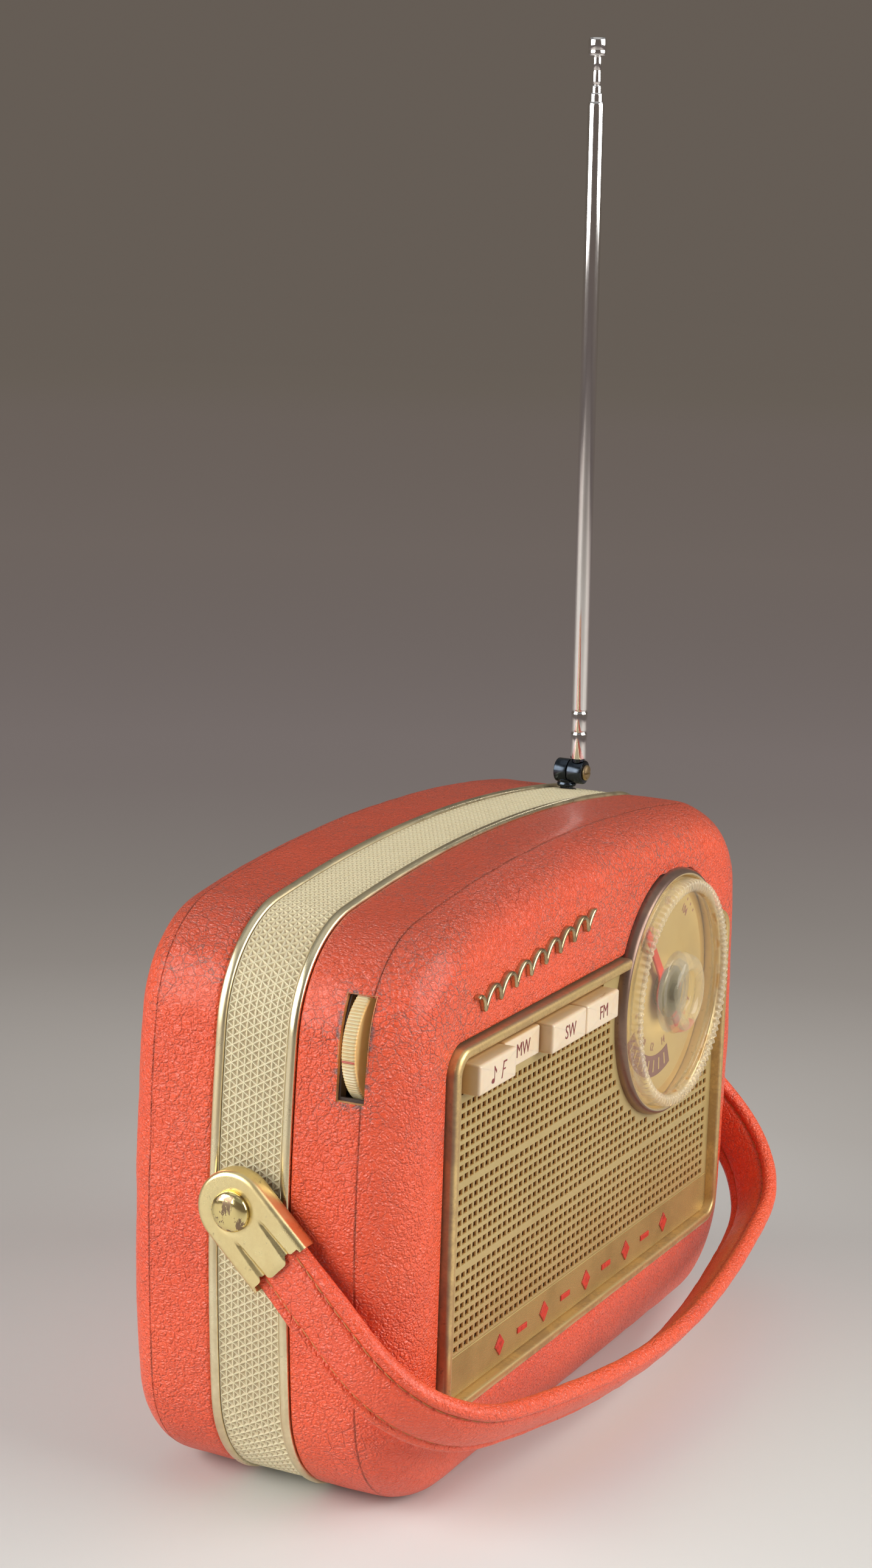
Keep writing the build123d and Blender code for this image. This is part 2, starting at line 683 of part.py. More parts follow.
def aerial_tube():
    tube = along(2.7, 4.6, 217.2)
    for start in (13.5, 20.5):              # shallow ring grooves
        tube -= along(3.5, start, start + 0.7) - along(2.45, start - 1, start + 2)
    tube -= along(2.2, -3, 240)
    tube -= rod_y(*AERIAL, 4.05, -2, 5)
    return tube


def aerial_section_2():
    return along(2.15, 16.0, 219.9) - along(1.7, 10, 240)


def aerial_section_3():
    return along(1.65, 17.0, 222.2) - along(1.2, 10, 240)


def aerial_rod():
    return along(1.15, 18.0, 234.0) + along(1.4, 222.6, 231.0)


def aerial_cap():
    cap = along(2.95, 231.1, AERIAL_LENGTH)
    return fillet(cap.edges(), 0.7) - along(1.2, 220, 234.05)


# ---------------------------------------------------------------- speaker
SPEAKER_PROFILE = [         # radius, y
    (33.5, -43.45), (SPEAKER_R, -43.45), (SPEAKER_R, -42.3), (35.5, -42.3), (20, -24),
    (14.0, -22.0), (14.0, -20.5), (0, -20.5), (0, -21.5), (13.0, -21.7), (19.0, -24.5),
    (33.5, -41.0)]
CONE_PROFILE = [            # radius, y
    (33.3, -43.3), (33.3, -42.8), (10.0, -26.0), (0.0, -28.5), (0.0, -29.0),
    (10.3, -26.7), (32.6, -43.3)]
EAR_HALF = 34.5
EAR_Y0, EAR_Y1 = -40.4, -39.3


def speaker_frame():
    basket = turned_y(*SPEAKER, SPEAKER_PROFILE)
    square = rounded_rect(SPEAKER_X - EAR_HALF, SPEAKER_X + EAR_HALF,
                          SPEAKER_Z - EAR_HALF, SPEAKER_Z + EAR_HALF, 5)
    ears = prism(square - disc(*SPEAKER, SPEAKER_R - 0.5), EAR_Y0, EAR_Y1)
    for x, z in SPEAKER_SCREWS:
        ears -= rod_y(x, z, 1.4, -60, 0)
    rim = disc(*SPEAKER, SPEAKER_R) - disc(*SPEAKER, SPEAKER_R - 1.2)
    return basket + prism(rim, -43.4, EAR_Y1) + ears


def speaker_cone():
    return turned_y(*SPEAKER, CONE_PROFILE)


def speaker_magnet():
    return rod_y(*SPEAKER, 17.0, -20.4, -8.0)


# ---------------------------------------------------------------- circuit board
FERRITE_Y, FERRITE_Z = FERRITE = (24.0, 150.0)
COIL_SPANS = ((-70, -48), (-20, -8), (36, 54))      # x0, x1
CAN_X, CAN_Z = (-60, -38, -16, 6, 28, 50), 120
TRANSFORMERS = ((76, 100), (76, 72))                # x, z
CAPACITORS = (              # x, z, radius, height
    (-80, 96, 5, 20), (-64, 96, 4, 16), (-48, 96, 4, 16), (-20, 92, 5, 20),
    (4, 94, 3.2, 12), (30, 94, 5, 20), (-80, 74, 4, 16), (-52, 70, 5.5, 20),
    (-10, 68, 4, 15), (20, 68, 4, 16), (46, 70, 4.5, 18))
TRANSISTORS = (             # x, z
    (-70, 106), (-27, 106), (17, 106), (61, 106), (62, 86), (62, 62), (-30, 62),
    (-66, 60), (36, 82))


def circuit_board():
    board = slab(-101, 101, BOARD_Y0, BOARD_Y1, 14, 156)
    board -= slab(84, 110, 0, 10, 138, 160)     # corner below the aerial
    for x, z in BOARD_SCREWS:
        board -= rod_y(x, z, 1.7, 0, 10)
    for x, z in COIN_SCREWS:                    # room for the band's bosses and webs
        board -= rod_y(x, z, 5.6, 0, 10)
        board -= slab(x - 2.3, x + 2.3, 0, 10, 0, z)
    return board


def board_screw(x, z):
    screw = rod_y(x, z, 1.5, -6, 5.7) + rod_y(x, z, 2.9, MOUNT_Y, 7.6)
    return screw - bar_y(x, z, 4, 0.3, 7.0, 8)


def speaker_screw(x, z):
    return rod_y(x, z, 1.2, -42.6, -39.2) + rod_y(x, z, 2.6, -39.25, -37.6)


def chassis_screws():
    return (fused(board_screw(x, z) for x, z in BOARD_SCREWS)
            + fused(speaker_screw(x, z) for x, z in SPEAKER_SCREWS))


def ferrite_rod():
    return rod_x(*FERRITE, 4.8, -78, 62)


def ferrite_bore():
    return rod_x(*FERRITE, 4.85, -100, 100)


def rod_coils():
    return fused(rod_x(*FERRITE, 6.3, x0, x1) - ferrite_bore() for x0, x1 in COIL_SPANS)


def rod_clip(x):
    clip = bar_y(x, FERRITE_Z, 3, 6.5, MOUNT_Y, 30.5) - ferrite_bore()
    return clip - bar_y(x, FERRITE_Z, 4, 4.5, 10, 16)


def rod_clips():
    return rod_clip(-38.0) + rod_clip(22.0)


def if_cans():
    return fused(bar_y(x, CAN_Z, 5, 5, MOUNT_Y, 19.0) - rod_y(x, CAN_Z, 1.8, 17.5, 30)
                 for x in CAN_X)


def audio_transformers():
    return fused(bar_y(x, z, 9, 8, MOUNT_Y, 22) + bar_y(x, z, 11.5, 5, 9, 18)
                 for x, z in TRANSFORMERS)


def capacitors():
    return fused(rod_y(x, z, radius, MOUNT_Y, MOUNT_Y + height)
                 for x, z, radius, height in CAPACITORS)


def transistors():
    return fused(rod_y(x, z, 2.4, 9.0, 17.0) + rod_y(x, z, 0.9, MOUNT_Y, 9.2)
                 for x, z in TRANSISTORS)


# ---------------------------------------------------------------- batteries
BOX_X, BOX_Y0, BOX_Y1 = 66.0, 7.0, 36.0     # half width, front and back
BOX_Z0, BOX_Z1 = 9.5, 49.5
BOX_WALL = 1.6
CELL_Y = 18.2
CELL_ROWS = (20.1, 38.9)                    # z of each row
CELL_X0, CELL_PITCH, CELL_LENGTH = -58.5, 59.2, 56.0


def battery_box():
    """Tray that is open at the back."""
    box = slab(-BOX_X, BOX_X, BOX_Y0, BOX_Y1, BOX_Z0, BOX_Z1)
    return box - slab(-BOX_X + BOX_WALL, BOX_X - BOX_WALL, BOX_Y0 + BOX_WALL, 50,
                      BOX_Z0 + BOX_WALL, BOX_Z1 - BOX_WALL)


def battery(z, index):
    x0 = CELL_X0 + index * CELL_PITCH
    x1 = x0 + CELL_LENGTH
    return rod_x(CELL_Y, z, 8.6, x0, x1) + rod_x(CELL_Y, z, 2.6, x1 - 0.1, x1 + 2.4)


def batteries():
    return fused(battery(z, index) for z in CELL_ROWS for index in range(2))


def battery_spring(z):
    path = Helix(pitch=2.0, height=5.0, radius=4.2)
    wire = sweep(Plane(path @ 0, z_dir=path % 0) * Circle(0.4), path=path)
    return Location((-64.0, CELL_Y, z), (0, 90, 0)) * wire


def battery_springs():
    return fused(battery_spring(z) for z in CELL_ROWS)


# ---------------------------------------------------------------- export
def save(part, name):
    part.label = name
    export_step(part, f"parts/{name}.step")


# Each function here is named after the file it fills
PIECES = (
    front_leather, front_case, back_leather, back_case, back_cover_screws,
    centre_band, front_trim, rear_trim,
    front_bezel, grille, grille_cloth, nameplate, front_ornament, key_switch,
    dial_ring, dial_scale, tuning_knob, tuning_shaft, tuning_bush, dial_pointer,
    drive_drum, capacitor_drum, dial_cord, tuning_capacitor, capacitor_plates,
    volume_wheel, volume_control,
    handle_strap, left_clip, right_clip, handle_studs, handle_washers_nuts,
    aerial_bush, aerial_swivel, aerial_foot, aerial_pivot_screw, aerial_tube,
    aerial_section_2, aerial_section_3, aerial_rod, aerial_cap,
    circuit_board, speaker_frame, speaker_cone, speaker_magnet, chassis_screws,
    ferrite_rod, rod_coils, rod_clips, if_cans, audio_transformers, capacitors,
    transistors, battery_box, batteries, battery_springs)

os.makedirs("parts", exist_ok=True)
for build in PIECES:
    save(build(), build.__name__)
for key_index, key_name in enumerate(KEY_NAMES):
    save(key(key_index, key_name), key_name)
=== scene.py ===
"""Portable transistor radio in a red leather case, with a carrying strap and an aerial.

The case stands on the floor, z = 0, with its front towards -Y and its top at +Z.
The tuning dial and grille are on the front, the volume wheel shows through an opening
in the -X side, and the aerial rises near the +X end.  Lengths are in millimetres unless
a comment says otherwise; make() turns them into metres.
"""
import math
import random

import bmesh
import bpy
import numpy as np
from mathutils import Matrix, Vector, noise
from mathutils.geometry import delaunay_2d_cdt


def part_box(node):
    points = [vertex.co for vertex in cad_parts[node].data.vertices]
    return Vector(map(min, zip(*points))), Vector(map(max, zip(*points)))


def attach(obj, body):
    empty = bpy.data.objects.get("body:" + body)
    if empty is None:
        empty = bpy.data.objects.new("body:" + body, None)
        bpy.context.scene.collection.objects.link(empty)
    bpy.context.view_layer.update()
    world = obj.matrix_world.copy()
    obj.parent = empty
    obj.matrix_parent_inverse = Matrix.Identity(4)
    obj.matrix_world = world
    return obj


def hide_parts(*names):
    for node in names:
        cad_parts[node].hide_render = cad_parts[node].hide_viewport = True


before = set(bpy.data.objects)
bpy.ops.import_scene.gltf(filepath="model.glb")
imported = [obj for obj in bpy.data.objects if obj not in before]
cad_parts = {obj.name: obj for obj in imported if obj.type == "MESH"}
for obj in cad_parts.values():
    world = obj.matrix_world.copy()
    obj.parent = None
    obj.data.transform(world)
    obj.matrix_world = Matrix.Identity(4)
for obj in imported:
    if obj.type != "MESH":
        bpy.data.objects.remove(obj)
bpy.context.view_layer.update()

MM = 0.001
COLLECTION = bpy.context.scene.collection
rng = random.Random(7)


def box_mm(name):
    low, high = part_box(name)
    return [v * 1000 for v in low], [v * 1000 for v in high]


# =====================================================================
# driving dimensions
# =====================================================================
_, (HALF_W, Y_BACK, TOP_Z) = box_mm("back_leather")
Y_FRONT = box_mm("front_leather")[0][1]
SIDE_R, TOP_R = 535.0, 659.0                      # slightly bowed sides and top
TOP_CORNER_R, LOW_CORNER_R = 33.7, 35.9
SIDE_CENTRE = np.array([HALF_W - SIDE_R, TOP_Z / 2])
TOP_CENTRE = np.array([0.0, TOP_Z - TOP_R])
BAND_HALF = 9.75                                  # half the depth of the centre band
FRONT_ROUND = 18.0                                # rounding from the sides into the front
# side: y of the face, rounding into the face, distance of the seam from y = 0
SKINS = {-1: (Y_FRONT, FRONT_ROUND, 33.4), 1: (Y_BACK, 12.5, 32.4)}

(BEZEL_X0, _, BEZEL_Z0), (BEZEL_X1, _, BEZEL_Z1) = box_mm("front_bezel")
BEZEL_R, BEZEL_W = 8.0, 3.2
_low, _high = box_mm("dial_ring")
DIAL_X, DIAL_Z = (_low[0] + _high[0]) / 2, (_low[2] + _high[2]) / 2
RING_R = (_high[0] - _low[0]) / 2
_low, _high = box_mm("volume_wheel")
WHEEL_X, WHEEL_Z = (_low[0] + _high[0]) / 2, (_low[2] + _high[2]) / 2
# opening for the volume wheel
SLOT_Y0, SLOT_Y1, SLOT_Z0, SLOT_Z1 = -34.2, -25.8, 125.6, 154.5
HOLE_GROWTH = 0.9                                 # width of the rolled leather edge
FRONTWARDS = (0, -1, 0)


def circle_crossing(centre_a, radius_a, centre_b, radius_b):
    """The crossing of two circles that has the larger x."""
    gap = centre_b - centre_a
    distance = np.hypot(*gap)
    along = (radius_a ** 2 - radius_b ** 2 + distance ** 2) / (2 * distance)
    across = math.sqrt(radius_a ** 2 - along ** 2)
    middle = centre_a + along * gap / distance
    offset = across * np.array([gap[1], -gap[0]]) / distance
    return max(middle + offset, middle - offset, key=lambda point: point[0])


TOP_CORNER = circle_crossing(SIDE_CENTRE, SIDE_R - TOP_CORNER_R, TOP_CENTRE, TOP_R - TOP_CORNER_R)
LOW_CORNER = np.array([
    SIDE_CENTRE[0] + math.sqrt((SIDE_R - LOW_CORNER_R) ** 2 - (LOW_CORNER_R - SIDE_CENTRE[1]) ** 2),
    LOW_CORNER_R])
SIDE_TOP_ANGLE = math.atan2(*(TOP_CORNER - SIDE_CENTRE)[::-1])


def outline(step=1.0):
    """Case outline in X-Z from the bottom centre towards +X.

    Returns points, outward normals, arc length at each point, and total length.
    """
    low = math.atan2(*(LOW_CORNER - SIDE_CENTRE)[::-1])
    high = SIDE_TOP_ANGLE
    top = math.atan2(*(TOP_CORNER - TOP_CENTRE)[::-1])
    points, normals, lengths = [], [], []
    total = 0.0

    def run(length, point_at):
        nonlocal total
        count = max(1, int(round(length / step)))
        for i in range(count):
            point, normal = point_at(i / count)
            points.append(point)
            normals.append(normal)
            lengths.append(total + length * (i / count))
        total += length

    def line(start, end):
        run(abs(end - start), lambda t: ((start + (end - start) * t, 0.0), (0.0, -1.0)))

    def arc(centre, radius, start, end):
        def point_at(t):
            angle = start + (end - start) * t
            nx, nz = math.cos(angle), math.sin(angle)
            return (centre[0] + radius * nx, centre[1] + radius * nz), (nx, nz)

        run(radius * (end - start), point_at)

    def mirrored(centre):
        return np.array([-centre[0], centre[1]])

    line(0.0, LOW_CORNER[0])
    arc(LOW_CORNER, LOW_CORNER_R, -math.pi / 2, low)
    arc(SIDE_CENTRE, SIDE_R, low, high)
    arc(TOP_CORNER, TOP_CORNER_R, high, top)
    arc(TOP_CENTRE, TOP_R, top, math.pi - top)
    arc(mirrored(TOP_CORNER), TOP_CORNER_R, math.pi - top, math.pi - high)
    arc(mirrored(SIDE_CENTRE), SIDE_R, math.pi - high, math.pi - low)
    arc(mirrored(LOW_CORNER), LOW_CORNER_R, math.pi - low, 1.5 * math.pi)
    line(-LOW_CORNER[0], 0.0)
    return np.array(points), np.array(normals), np.array(lengths), total


# =====================================================================
# mesh helpers
# =====================================================================
def place(ob, body=None, slot=None, replaces=()):
    if body:
        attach(ob, body)
    if replaces:
        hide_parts(*replaces)


def sharpen(ob, angle):
    ob.data.set_sharp_from_angle(angle=math.radians(angle))


def shade_smooth(ob):
    ob.data.polygons.foreach_set("use_smooth", [True] * len(ob.data.polygons))


def make(name, verts, faces, material, smooth=True, angle=None, scale=MM, **role):
    mesh = bpy.data.meshes.new(name)
    coords = np.asarray(verts, dtype=float).reshape(-1, 3) * scale
    mesh.from_pydata(coords.tolist(), [], [list(map(int, face)) for face in faces])
    mesh.validate()
    mesh.update()
    ob = bpy.data.objects.new(name, mesh)
    COLLECTION.objects.link(ob)
    if smooth:
        shade_smooth(ob)
        if angle is not None:
            sharpen(ob, angle)
    mesh.materials.append(material)
    place(ob, **role)
    return ob


def set_attribute(ob, name, values):
    attribute = ob.data.attributes.new(name, "FLOAT", "POINT")
    attribute.data.foreach_set("value", np.array(values, dtype=np.float32))


def grid_faces(rows, columns, wrap_c=False, wrap_r=False, base=0):
    """Quads of a grid of vertices stored row by row from index base."""
    r = np.arange(rows if wrap_r else rows - 1)
    c = np.arange(columns if wrap_c else columns - 1)
    r, c = np.meshgrid(r, c, indexing="ij")
    r2, c2 = (r + 1) % rows, (c + 1) % columns
    quads = [r * columns + c, r * columns + c2, r2 * columns + c2, r2 * columns + c]
    return [tuple(f) for f in (np.stack(quads, -1).reshape(-1, 4) + base).tolist()]


def ring_faces(rings, closed=False):
    """Joins rings of vertex indices; a ring of one vertex becomes the centre of a fan."""
    faces = []
    for a, b in list(zip(rings, rings[1:])) + ([(rings[-1], rings[0])] if closed else []):
        if len(a) == 1 and len(b) == 1:
            continue
        count = max(len(a), len(b))
        for i in range(count):
            j = (i + 1) % count
            if len(a) == 1:
                faces.append((a[0], b[j], b[i]))
            elif len(b) == 1:
                faces.append((a[i], a[j], b[0]))
            else:
                faces.append((a[i], a[j], b[j], b[i]))
    return faces


def tidy(ob, merge=None, drop_loose=False, centre=None, outward=True):
    """Merges vertices and makes normals agree; merge and centre are in metres.

    With a centre given, an open sheet is turned to look away from it (or towards it).
    """
    bm = bmesh.new()
    bm.from_mesh(ob.data)
    if merge:
        bmesh.ops.remove_doubles(bm, verts=bm.verts, dist=merge)
    if drop_loose:
        loose = [v for v in bm.verts if not v.link_faces]
        bmesh.ops.delete(bm, geom=loose, context="VERTS")
    bmesh.ops.recalc_face_normals(bm, faces=bm.faces)
    if centre is not None:
        centre = Vector(centre)
        facing = sum((f.calc_center_median() - centre).dot(f.normal) * f.calc_area()
                     for f in bm.faces)
        if (facing < 0) == outward:
            bmesh.ops.reverse_faces(bm, faces=bm.faces)
    bm.to_mesh(ob.data)
    bm.free()


def fix_normals(ob):
    tidy(ob, merge=1e-6)


def bake(ob):
    """Applies the modifiers of a piece."""
    graph = bpy.context.evaluated_depsgraph_get()
    mesh = bpy.data.meshes.new_from_object(ob.evaluated_get(graph))
    ob.modifiers.clear()
    old = ob.data
    ob.data = mesh
    bpy.data.meshes.remove(old)


def subtract(ob, verts, faces):
    """Cuts a closed shape out of a piece."""
    mesh = bpy.data.meshes.new("cutter")
    mesh.from_pydata([tuple(c * MM for c in v) for v in verts], [], faces)
    cutter = bpy.data.objects.new("cutter", mesh)
    COLLECTION.objects.link(cutter)
    fix_normals(cutter)
    modifier = ob.modifiers.new("cut", "BOOLEAN")
    modifier.operation, modifier.object, modifier.solver = "DIFFERENCE", cutter, "EXACT"
    bake(ob)
    bpy.data.objects.remove(cutter)


def lathe(name, origin, axis, profile, segments, material, angle=40, closed=False, **role):
    """Turned piece: profile is (radius, distance along axis); ends at radius 0 are capped."""
    axis = Vector(axis).normalized()
    u = axis.orthogonal().normalized()
    w = axis.cross(u)
    verts, rings = [], []
    for radius, along in profile:
        centre = Vector(origin) + axis * along
        start = len(verts)
        if radius < 1e-6:
            verts.append(tuple(centre))
        else:
            for i in range(segments):
                a = 2 * math.pi * i / segments
                verts.append(tuple(centre + u * (radius * math.cos(a)) + w * (radius * math.sin(a))))
        rings.append(list(range(start, len(verts))))
    ob = make(name, verts, ring_faces(rings, closed), material, **role)
    fix_normals(ob)
    sharpen(ob, angle)
    return ob


def rounded_rect(x0, x1, z0, z1, radius, step=1.0):
    """Points and normals of a loop, anticlockwise seen with +X right and +Z up."""
    corners, corner_normals = [], []
    for cx, cz, start in ((x1 - radius, z0 + radius, -90), (x1 - radius, z1 - radius, 0),
                          (x0 + radius, z1 - radius, 90), (x0 + radius, z0 + radius, 180)):
        count = max(4, int(radius * math.pi / 2 / min(step, 0.7)))
        for i in range(count + 1):
            a = math.radians(start + 90 * i / count)
            corners.append((cx + radius * math.cos(a), cz + radius * math.sin(a)))
            corner_normals.append((math.cos(a), math.sin(a)))
    corners, corner_normals = np.array(corners), np.array(corner_normals)
    points, normals = [], []
    for i, start in enumerate(corners):
        end = corners[(i + 1) % len(corners)]
        count = max(1, int(round(np.hypot(*(end - start)) / step)))
        for j in range(count):
            points.append(start + (end - start) * j / count)
            normals.append(corner_normals[i])
    return np.array(points), np.array(normals)


def prism(name, shape, y_back, y_front, material, bevel=0.25, **role):
    """Flat piece with an X-Z outline and a bevelled front edge."""
    bm = bmesh.new()
    face = bm.faces.new([bm.verts.new((x * MM, y_back * MM, z * MM)) for x, z in shape])
    extruded = bmesh.ops.extrude_face_region(bm, geom=[face])["geom"]
    moved = [g for g in extruded if isinstance(g, bmesh.types.BMVert)]
    bmesh.ops.translate(bm, verts=moved, vec=(0, (y_front - y_back) * MM, 0))
    bmesh.ops.recalc_face_normals(bm, faces=bm.faces)
    front = [e for e in bm.edges if all(abs(v.co.y - y_front * MM) < 1e-7 for v in e.verts)]
    bmesh.ops.bevel(bm, geom=front, offset=bevel * MM, segments=2, profile=0.5, affect="EDGES")
    mesh = bpy.data.meshes.new(name)
    bm.to_mesh(mesh)
    bm.free()
    mesh.materials.append(material)
    ob = bpy.data.objects.new(name, mesh)
    COLLECTION.objects.link(ob)
    place(ob, **role)
    return ob


def text_piece(name, text, size, origin, material, depth, squeeze, angle=0.0, weight=0.0, **role):
    """Raised text that faces -Y, turned by angle (radians) in X-Z."""
    curve = bpy.data.curves.new(name, "FONT")
    curve.body = text
    curve.size = size * MM
    curve.align_x, curve.align_y = "CENTER", "CENTER"
    curve.extrude = depth * MM
    curve.offset = weight * MM
    curve.resolution_u = 3
    source = bpy.data.objects.new(name + "_tmp", curve)
    COLLECTION.objects.link(source)
    graph = bpy.context.evaluated_depsgraph_get()
    mesh = bpy.data.meshes.new_from_object(source.evaluated_get(graph))
    mesh.name = name
    bpy.data.objects.remove(source)
    bpy.data.curves.remove(curve)
    upright = Matrix.Rotation(math.pi / 2, 4, "X")
    turn = Matrix.Rotation(angle, 4, "Z")
    narrow = Matrix.Diagonal((squeeze, 1, 1, 1))
    mesh.transform(Matrix.Translation(Vector(origin) * MM) @ upright @ turn @ narrow)
    mesh.materials.clear()
    mesh.materials.append(material)
    ob = bpy.data.objects.new(name, mesh)
    COLLECTION.objects.link(ob)
    place(ob, **role)
    return ob


def join(name, parts, **role):
    """Joins pieces into one and removes them."""
    bm = bmesh.new()
    materials = []
    for part in parts:
        first = len(bm.faces)
        slots = []
        for material in part.data.materials:
            if material not in materials:
                materials.append(material)
            slots.append(materials.index(material))
        bm.from_mesh(part.data)
        bm.faces.ensure_lookup_table()
        for face in bm.faces[first:]:
            face.material_index = slots[face.material_index]
    mesh = bpy.data.meshes.new(name)
    bm.to_mesh(mesh)
    bm.free()
    for material in materials:
        mesh.materials.append(material)
    for part in parts:
        part_mesh = part.data
        bpy.data.objects.remove(part)
        bpy.data.meshes.remove(part_mesh)
    ob = bpy.data.objects.new(name, mesh)
    COLLECTION.objects.link(ob)
    place(ob, **role)
    return ob


# =====================================================================
# shader helpers
# =====================================================================
class Signal:
    """Output of a shader node; arithmetic on it adds Math nodes."""

    def __init__(self, look, socket):
        self.look, self.socket = look, socket

    def __add__(self, other):
        return self.look.math("ADD", self, other)

    def __radd__(self, other):
        return self.look.math("ADD", other, self)

    def __sub__(self, other):
        return self.look.math("SUBTRACT", self, other)

    def __rsub__(self, other):
        return self.look.math("SUBTRACT", other, self)

    def __mul__(self, other):
        return self.look.math("MULTIPLY", self, other)

    def __abs__(self):
        return self.look.math("ABSOLUTE", self)


class Look:
    """A material under construction; texture scales and depths are in metres."""

    def __init__(self, name):
        self.material = bpy.data.materials.new(name)
        self.material.use_nodes = True
        self.tree = self.material.node_tree
        self.principled = self.tree.nodes["Principled BSDF"]
        self.place = self.node("TexCoord", output="Object")

    def set(self, socket, value):
        if isinstance(value, Signal):
            self.tree.links.new(value.socket, socket)
        elif socket.type == "RGBA":
            socket.default_value = (*value, 1)
        else:
            socket.default_value = value

    def node(self, kind, inputs=None, output=0, **properties):
        node = self.tree.nodes.new("ShaderNode" + kind)
        for key, value in properties.items():
            setattr(node, key, value)
        for key, value in (inputs or {}).items():
            self.set(node.inputs[key], value)
        return Signal(self, node.outputs[output])

    def math(self, operation, a, b=0.0, clamp=False):
        return self.node("Math", {0: a, 1: b}, operation=operation, use_clamp=clamp)

    def mapping(self, scale, turn=(0, 0, 0), vector=None):
        return self.node("Mapping", {"Vector": vector or self.place, "Scale": scale,
                                     "Rotation": turn})

    def noise(self, scale, detail=3, rough=0.55, distortion=0.0, vector=None):
        return self.node("TexNoise", {"Vector": vector or self.place, "Scale": scale,
                                      "Detail": detail, "Roughness": rough,
                                      "Distortion": distortion}, "Fac")

    def cells(self, scale, vector):
        """Distance to the edges of random cells."""
        return self.node("TexVoronoi", {"Vector": vector, "Scale": scale, "Randomness": 1.0},
                         "Distance", feature="DISTANCE_TO_EDGE")

    def ramp(self, value, over, to=(0.0, 1.0)):
        """Smooth step from to[0] to to[1] while value crosses the span over."""
        return self.node("MapRange", {"Value": value, "From Min": over[0], "From Max": over[1],
                                      "To Min": to[0], "To Max": to[1]},
                         interpolation_type="SMOOTHSTEP")

    def fall(self, value, over):
        return self.ramp(value, over, to=(1.0, 0.0))

    def mix(self, start, to, by):
        return self.node("Mix", {0: by, 6: start, 7: to}, 2, data_type="RGBA", blend_type="MIX")

    def bump(self, height, depth, strength, normal=None):
        inputs = {"Height": height, "Distance": depth, "Strength": strength}
        if normal is not None:
            inputs["Normal"] = normal
        return self.node("Bump", inputs)

    def attribute(self, name):
        return self.node("Attribute", output="Fac", attribute_name=name)

    def xyz(self, vector=None):
        first = self.node("SeparateXYZ", {0: vector or self.place})
        return [Signal(self, socket) for socket in first.socket.node.outputs]

    def normal_xyz(self):
        return self.xyz(self.node("NewGeometry", output="Normal"))

    def radius(self, centre_x, centre_z):
        """Distance in mm from an axis along Y."""
        x, _, z = self.xyz()
        dx = x * 1000.0 - centre_x
        dz = z * 1000.0 - centre_z
        return self.math("SQRT", dx * dx + dz * dz)

    def surface(self, colour, roughness, normal, metallic=0.0, **extra):
        """Sets the Principled inputs; extra names stand for inputs, with _ for a space."""
        values = {"Base Color": colour, "Roughness": roughness, "Metallic": metallic,
                  "Normal": normal}
        values.update({key.replace("_", " "): value for key, value in extra.items()})
        for key, value in values.items():
            self.set(self.principled.inputs[key], value)
        return self.material


